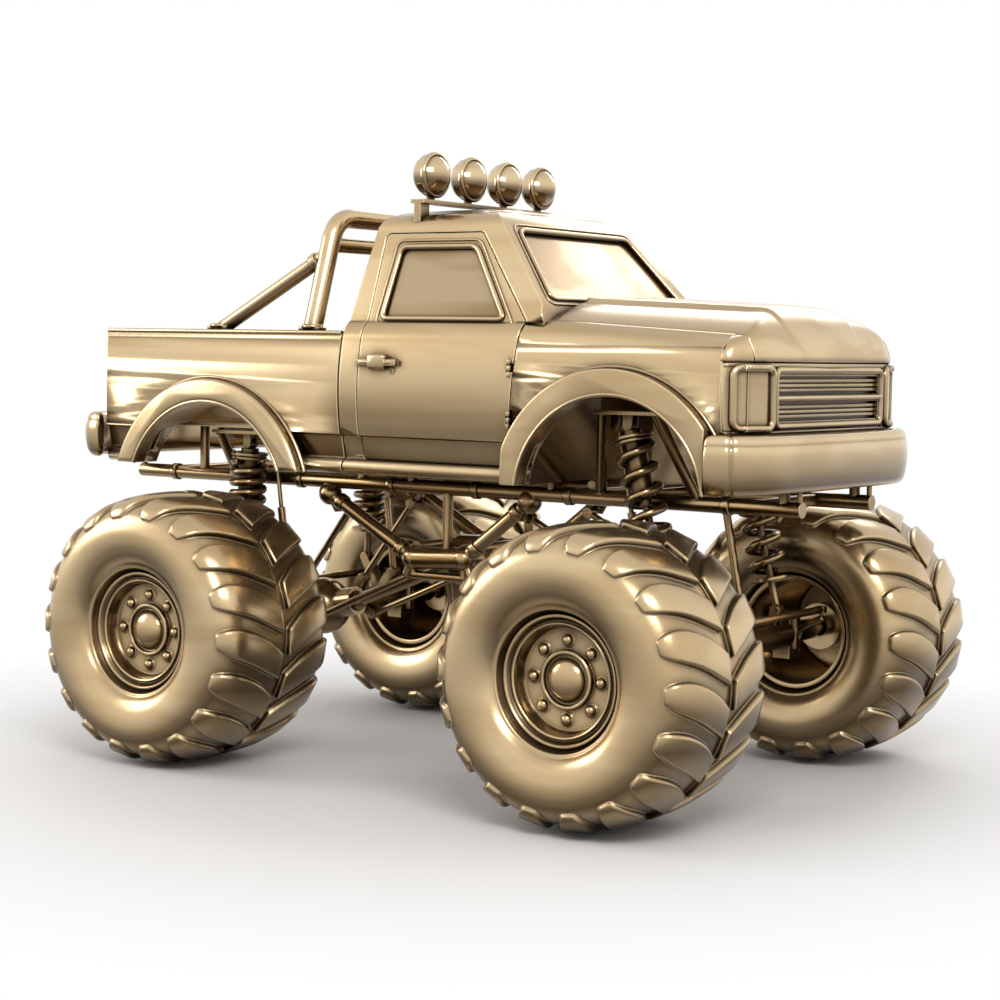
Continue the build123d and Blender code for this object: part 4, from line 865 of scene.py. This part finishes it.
def makeBumper(s, end):
    low, high = s["height"][end]
    middle, half = (low + high) / 2, (high - low) / 2
    rows = []
    for i, (outer, back) in enumerate(s[end]):
        pinched = i == s["pinched"][end]
        size = s["pinch"] if pinched else (s["end"] if i == 0 else 1.0)
        depth = s["groove"] if pinched else 1.0
        rows.append([
            (back[0] + (outer[0] - back[0]) * d * depth, back[1] + (outer[1] - back[1]) * d * depth,
             middle + half * h * size)
            for d, h in s["profile"]
        ])
    mirrored = [[(x, -y, z) for x, y, z in row] for row in rows[-2::-1]]
    bar = skin(end + "BumperBar", rows + mirrored)
    useModifier(bar, "SUBSURF", levels=1, render_levels=1)
    smooth(bar, 50)
    finishPiece(bar, "truck", "gold_trim", end + "_bumper")


makeBumper(bumperSet, "front")
makeBumper(bumperSet, "rear")
print("bumpers made")

# Lamp and grille frames: rounded mouldings round the front panel's openings
frontTrim = {
    "lamp": {"inner": 0.718, "outer": 0.988, "low": 2.176, "high": 2.508, "radius": 0.023, "proud": 0.004,
             "corner": 0.050},
    "crease": {"across": 0.905, "radius": 0.007},
    "grille": {"half": 0.672, "low": 2.186, "high": 2.496, "radius": 0.023, "proud": -0.006},
    "lipBead": {"half": 0.99, "z": 2.157, "radius": 0.009},
}


def alongFront(low, high, z, proud, steps=14):
    places = [low + (high - low) * k / steps for k in range(steps + 1)]
    return [(planFront(a) + proud, a, z) for a in places]


def makeFrontTrim(s):
    lamp, crease, grille, bead = s["lamp"], s["crease"], s["grille"], s["lipBead"]
    for side in (1, -1):
        low = alongFront(lamp["inner"], lamp["outer"], lamp["low"], lamp["proud"])
        high = alongFront(lamp["outer"], lamp["inner"], lamp["high"], lamp["proud"])
        corners = [low[0]] + low[4:-4] + [low[-1], high[0]] + high[4:-4] + [high[-1]]
        path = [(x, side * y, z) for x, y, z in softened(corners, lamp["corner"])]
        ring = pipe("lampFrame", path, lamp["radius"], 14, True)
        x, across = planFront(crease["across"]), side * crease["across"]
        path = [(x, across, lamp["low"]), (x, across, lamp["high"])]
        line = pipe("lampCrease", path, crease["radius"], 10)
        whole = join([ring, line], "lampFrame")
        smooth(whole, 50)
        finishPiece(whole, "truck", "gold_trim")
    half = grille["half"]
    low = alongFront(-half, half, grille["low"], grille["proud"])
    high = alongFront(half, -half, grille["high"], grille["proud"])
    middle = (grille["low"] + grille["high"]) / 2
    ring = pipe("grilleFrame", softened([low[0], low[-1], high[0], high[-1]], 0.045), grille["radius"], 14, True)
    bar = pipe("grilleBar", alongFront(-half, half, middle, grille["proud"]), grille["radius"] * 0.8, 14)
    line = pipe("panelBead", alongFront(-bead["half"], bead["half"], bead["z"], 0.001, 40), bead["radius"], 10)
    whole = join([ring, bar, line], "grilleFrame")
    smooth(whole, 50)
    finishPiece(whole, "truck", "gold_trim")


makeFrontTrim(frontTrim)
print("front trim made")

# Window mouldings: a rounded frame round each pane, inside a thinner bead
paneSet = {
    "door": [(-0.090, 2.762), (0.800, 2.762), (0.500, 3.190), (-0.055, 3.190)],
    "belt": (0.925, 2.745),
    "eave": (0.735, 3.310),
    "frame": 0.017,
    "bead": 0.008,
    "inset": 0.004,
    "gap": 0.042,
    "doorCorner": 0.050,
    "screenCorner": 0.065,
    "screenFoot": (1.050, 2.850),
    "screenHead": (0.655, 3.327),
    "screenHalf": (0.760, 0.610),
    "margin": 0.045,
}


# A closed outline of straight sides, each moved out by the same measure
def grown(corners, by):
    middle = sum((Vector(c) for c in corners), Vector((0, 0))) / len(corners)
    count = len(corners)
    lines = []
    for i, corner in enumerate(corners):
        a, b = Vector(corner), Vector(corners[(i + 1) % count])
        out = Vector(((b - a).y, -(b - a).x)).normalized()
        if out.dot((a + b) / 2 - middle) < 0:
            out = -out
        lines.append((a + out * by, b - a))
    path = []
    for (a, run), (b, other) in zip(lines[-1:] + lines[:-1], lines):
        cross = run.x * other.y - run.y * other.x
        away = b - a
        path.append(a + run * ((away.x * other.y - away.y * other.x) / cross))
    return path


def makePanes(s):
    (beltY, beltZ), (eaveY, eaveZ) = s["belt"], s["eave"]
    slope = (eaveY - beltY) / (eaveZ - beltZ)
    for name, side in (("left", 1), ("right", -1)):
        rings = []
        for grow, radius in ((s["inset"], s["frame"]), (s["gap"], s["bead"])):
            path = [(p.x, side * (beltY + (p.y - beltZ) * slope), p.y)
                    for p in softened([(*q, 0.0) for q in grown(s["door"], grow)], s["doorCorner"])]
            rings.append(pipe("paneFrame", path, radius, 14, True))
        whole = join(rings, "paneFrame" + name.title())
        smooth(whole, 50)
        finishPiece(whole, "door_" + name, "gold_trim")
    (footX, footZ), (headX, headZ) = s["screenFoot"], s["screenHead"]
    length = math.dist(s["screenFoot"], s["screenHead"])
    corners = [(-s["screenHalf"][0], s["margin"]), (s["screenHalf"][0], s["margin"]),
               (s["screenHalf"][1], length - s["margin"]), (-s["screenHalf"][1], length - s["margin"])]
    rings = []
    for grow, radius in ((s["inset"], s["frame"]), (s["gap"], s["bead"])):
        path = [(footX + (headX - footX) * p.y / length, p.x, footZ + (headZ - footZ) * p.y / length)
                for p in softened([(*q, 0.0) for q in grown(corners, grow)], s["screenCorner"])]
        rings.append(pipe("screenFrame", path, radius, 14, True))
    whole = join(rings, "screenFrame")
    smooth(whole, 50)
    finishPiece(whole, "truck", "gold_trim")


makePanes(paneSet)
print("window mouldings made")

# Coil springs and the bodies inside them
coilSet = {
    "front": ((1.510, 2.160), (1.810, 1.010)),
    "rear": ((-1.370, 1.945), (-1.420, 1.120)),
    "across": 0.650,
    "wire": 0.025,
    "radius": 0.099,
    "turns": 7.0,
    "start": 0.110,
    "stop": 0.235,
    "turnSteps": 22,
    "body": [(0.030, 0.030), (0.030, 0.058), (0.070, 0.058), (0.080, 0.075), (0.082, 0.112), (0.096, 0.112),
             (0.100, 0.066), (0.420, 0.066), (0.432, 0.052), (0.436, 0.036), (0.436, 0.0), (0.030, 0.0)],
}


def makeCoils(s):
    for end in ("front", "rear"):
        (x0, z0), (x1, z1) = s[end]
        for side in (1, -1):
            top, foot = Vector((x0, side * s["across"], z0)), Vector((x1, side * s["across"], z1))
            run = (foot - top).normalized()
            turn = run.to_track_quat("Z", "Y").to_matrix().to_4x4()
            height = (foot - top).length - s["start"] - s["stop"]
            count = int(s["turns"] * s["turnSteps"])
            path = []
            for k in range(count + 1):
                angle = 2 * math.pi * s["turns"] * k / count
                path.append((s["radius"] * math.cos(angle), s["radius"] * math.sin(angle), height * k / count))
            spring = pipe("coilSpring", path, s["wire"], 12)
            spring.data.transform(Matrix.Translation(top + run * s["start"]) @ turn)
            smooth(spring, 60)
            replaced = ["coilover_springs"] if (end, side) == ("front", 1) else []
            finishPiece(spring, "truck", "gold_frame", *replaced)
            body = spunPiece("coilBody", s["body"], 40)
            body.data.transform(Matrix.Rotation(math.pi / 2, 4, "X"))
            body.data.transform(Matrix.Translation(top) @ turn)
            smooth(body, 40)
            finishPiece(body, "truck", "gold_frame")


makeCoils(coilSet)
print("coils made")

# Roof lamps: a round bowl, a bezel and a domed lens on each foot
roofLamp = {
    "places": [-0.585, -0.195, 0.195, 0.585],
    "centre": (0.010, 3.638),
    "bar": 3.486,
    "outline": [
        (-0.092, 0.0), (-0.090, 0.040), (-0.078, 0.078), (-0.055, 0.108), (-0.022, 0.128), (0.018, 0.1340),
        (0.026, 0.1400), (0.044, 0.1400), (0.052, 0.1330), (0.052, 0.1240), (0.046, 0.1190), (0.058, 0.1120),
        (0.084, 0.0900), (0.104, 0.0600), (0.114, 0.0300), (0.117, 0.0),
    ],
    "foot": 0.026,
    "footTop": 0.110,
    "footSunk": 0.002,
}


def makeRoofLamps(s):
    x, z = s["centre"]
    bowl = spunPiece("lampBowl", s["outline"], 56)
    bowl.data.transform(Matrix.Rotation(-math.pi / 2, 4, "Z"))
    lamps = [copyOf(bowl, "lampBowl", move=(x, across, z)) for across in s["places"]]
    bpy.data.objects.remove(bowl)
    for across in s["places"]:
        path = [(x, across, s["bar"] - s["footSunk"]), (x, across, z - s["footTop"])]
        lamps.append(pipe("lampFoot", path, s["foot"], 20))
    whole = join(lamps, "roofLampBowls")
    smooth(whole, 50)
    finishPiece(whole, "truck", "gold_lamp", "roof_lamps")


makeRoofLamps(roofLamp)
print("roof lamps made")

# Roll bar: one bent hoop, a lower cross tube and a raked brace on each side
hoopSet = {
    "foot": (-0.640, 0.915),
    "head": (-0.610, 0.735),
    "base": 2.680,
    "top": 3.385,
    "radius": 0.060,
    "bend": 0.150,
    "brace": 0.046,
    "braceFoot": -1.400,
    "meet": 0.68,
    "drop": 0.170,
    "crossOut": 0.020,
    "collar": (0.125, 0.080),
    "collarGrow": 0.012,
    "plate": (0.160, 0.080, 0.024),
    "weld": (0.006, 0.014, 0.026),
}


def makeHoop(s):
    (fx, fy), (hx, hy) = s["foot"], s["head"]
    path = softened([(fx, -fy, s["base"]), (hx, -hy, s["top"]), (hx, hy, s["top"]), (fx, fy, s["base"])],
                    s["bend"], 8, False)
    parts = [pipe("hoopTube", path, s["radius"], 24)]
    low = s["top"] - s["drop"]
    inner = hy + s["crossOut"]
    parts.append(pipe("hoopCross", [(hx, -inner, low), (hx, inner, low)], s["brace"], 20))
    for side in (1, -1):
        foot, head = Vector((fx, side * fy, s["base"])), Vector((hx, side * hy, s["top"]))
        meet = foot + (head - foot) * s["meet"]
        back = Vector((s["braceFoot"], side * fy, s["base"]))
        parts.append(pipe("hoopBrace", [back, meet], s["brace"], 20))
        run = (meet - back).normalized()
        path = [meet - run * gap for gap in s["collar"]]
        parts.append(pipe("braceCollar", path, s["brace"] + s["collarGrow"], 20))
        for x in (fx, s["braceFoot"]):
            plate = startPiece(bpy.ops.mesh.primitive_cube_add, "hoopPlate", size=1.0, scale=s["plate"],
                               location=(x, side * fy, s["base"] + s["plate"][2] / 2))
            useModifier(plate, "BEVEL", width=0.006, segments=3)
            parts.append(plate)
            sunk, thick, rise = s["weld"]
            ring = startPiece(bpy.ops.mesh.primitive_torus_add, "hoopWeld", major_segments=28, minor_segments=8,
                              major_radius=s["radius"] - sunk, minor_radius=thick,
                              location=(x, side * fy, s["base"] + rise))
            parts.append(ring)
    whole = join(parts, "rollHoop")
    smooth(whole, 50)
    finishPiece(whole, "truck", "gold_trim", "roll_bar")


makeHoop(hoopSet)
print("roll bar made")

# Door handles: a round bar with a padded grip
handleSet = {
    "bar": (-0.182, 0.102),
    "z": 2.4955,
    "barY": 1.036,
    "barEnd": (0.025, 0.014),
    "barRadius": 0.023,
    "pad": (-0.0325, 1.040, 2.4975),
    "padSize": (0.132, 0.056, 0.094),
    "padRound": 0.020,
    "lock": (0.100, -0.012, -0.052),
    "lockRadii": (0.017, 0.004),
}


def makeHandles(s):
    for name, side in (("left", 1), ("right", -1)):
        y = side * s["barY"]
        (rear, front), (run, dip) = s["bar"], s["barEnd"]
        path = [(rear, y - side * dip, s["z"]), (rear + run, y, s["z"]),
                (front - run, y, s["z"]), (front, y - side * dip, s["z"])]
        bar = pipe("handleBar", softened(path, 0.010, 4, False), s["barRadius"], 18)
        x, across, z = s["pad"]
        pad = startPiece(bpy.ops.mesh.primitive_cube_add, "handlePad", size=1.0, scale=s["padSize"],
                         location=(x, side * across, z))
        useModifier(pad, "BEVEL", width=s["padRound"], segments=4)
        ring = startPiece(bpy.ops.mesh.primitive_torus_add, "handleLock", major_segments=24, minor_segments=8,
                          major_radius=s["lockRadii"][0], minor_radius=s["lockRadii"][1],
                          rotation=(math.pi / 2, 0, 0),
                          location=(x + s["lock"][0], side * (across + s["lock"][1]), z + s["lock"][2]))
        whole = join([bar, pad, ring], "doorHandle" + name.title())
        smooth(whole, 50)
        finishPiece(whole, "door_" + name, "gold_trim")


makeHandles(handleSet)
print("handles made")

# Beads along the bed's rails, and a short seam behind each rear flare
beadSet = {
    "rail": [(-2.322, 0.981, 2.668), (-0.352, 0.981, 2.668)],
    "railRadius": 0.015,
    "seam": [(-2.326, 1.0035, 2.049), (-2.060, 1.0035, 2.049)],
    "seamRadius": 0.007,
}


def makeBeads(s):
    for side in (1, -1):
        beads = []
        for key in ("rail", "seam"):
            path = [(x, side * y, z) for x, y, z in s[key]]
            beads.append(pipe(key + "Bead", path, s[key + "Radius"], 12))
        whole = join(beads, "bedBeads")
        smooth(whole, 50)
        finishPiece(whole, "truck", "gold_trim")


makeBeads(beadSet)
print("beads made")

# Frame collars: welded sleeves where the frame's tubes meet their nodes
frameSet = {
    "across": 0.450,
    "high": [(-0.860, 1.640), (0.690, 1.670)],
    "low": [(-0.180, 1.270), (0.210, 1.290)],
    "rail": 1.720,
    "railRadius": 0.045,
    "tube": 0.045,
    "grow": 0.011,
    "from": 0.085,
    "long": 0.052,
    "clampHalf": 0.024,
    "clamps": [-2.20, -1.62, -1.10, -0.35, 0.30, 0.98, 1.45, 2.05],
}


def makeCollars(s):
    for side in (1, -1):
        y = side * s["across"]
        sleeves = []
        for (hx, hz), (lx, lz) in zip(s["high"], s["low"]):
            high, low = Vector((hx, y, hz)), Vector((lx, y, lz))
            run = (low - high).normalized()
            for place, way in ((high, run), (low, -run)):
                ends = [place + way * s["from"], place + way * (s["from"] + s["long"])]
                sleeves.append(pipe("sleeve", ends, s["tube"] + s["grow"], 20))
        for x in s["clamps"]:
            path = [(x - s["clampHalf"], y, s["rail"]), (x + s["clampHalf"], y, s["rail"])]
            sleeves.append(pipe("railClamp", path, s["railRadius"] + s["grow"], 20))
        whole = join(sleeves, "frameSleeves")
        useModifier(whole, "BEVEL", width=0.004, segments=2, limit_method="ANGLE", angle_limit=math.radians(50))
        smooth(whole, 40)
        finishPiece(whole, "truck", "gold_frame")


makeCollars(frameSet)
print("frame collars made")

# Cab, seats and dashboard: the CAD forms with their edges rounded over
softSet = {
    "roof": 3.29,
    "roofSide": 0.60,
    "roofRound": 0.030,
    "seatRound": 0.050,
    "dashRound": 0.022,
}


def makeSoftForms(s):
    eaves = (lambda v: v.z > s["roof"] and abs(v.y) > s["roofSide"], s["roofRound"], 4)
    cab = softNode("cab_shell", "cabSoft", eaves)
    finishPiece(cab, "truck", "gold_body", "cab_shell")
    seats = softNode("seats", "seatCushions", (lambda v: True, s["seatRound"], 5))
    finishPiece(seats, "truck", "gold_interior", "seats")
    dash = softNode("dashboard", "dashPad", (lambda v: True, s["dashRound"], 4))
    finishPiece(dash, "truck", "gold_interior", "dashboard")


makeSoftForms(softSet)
print("cab, seats and dashboard rounded")
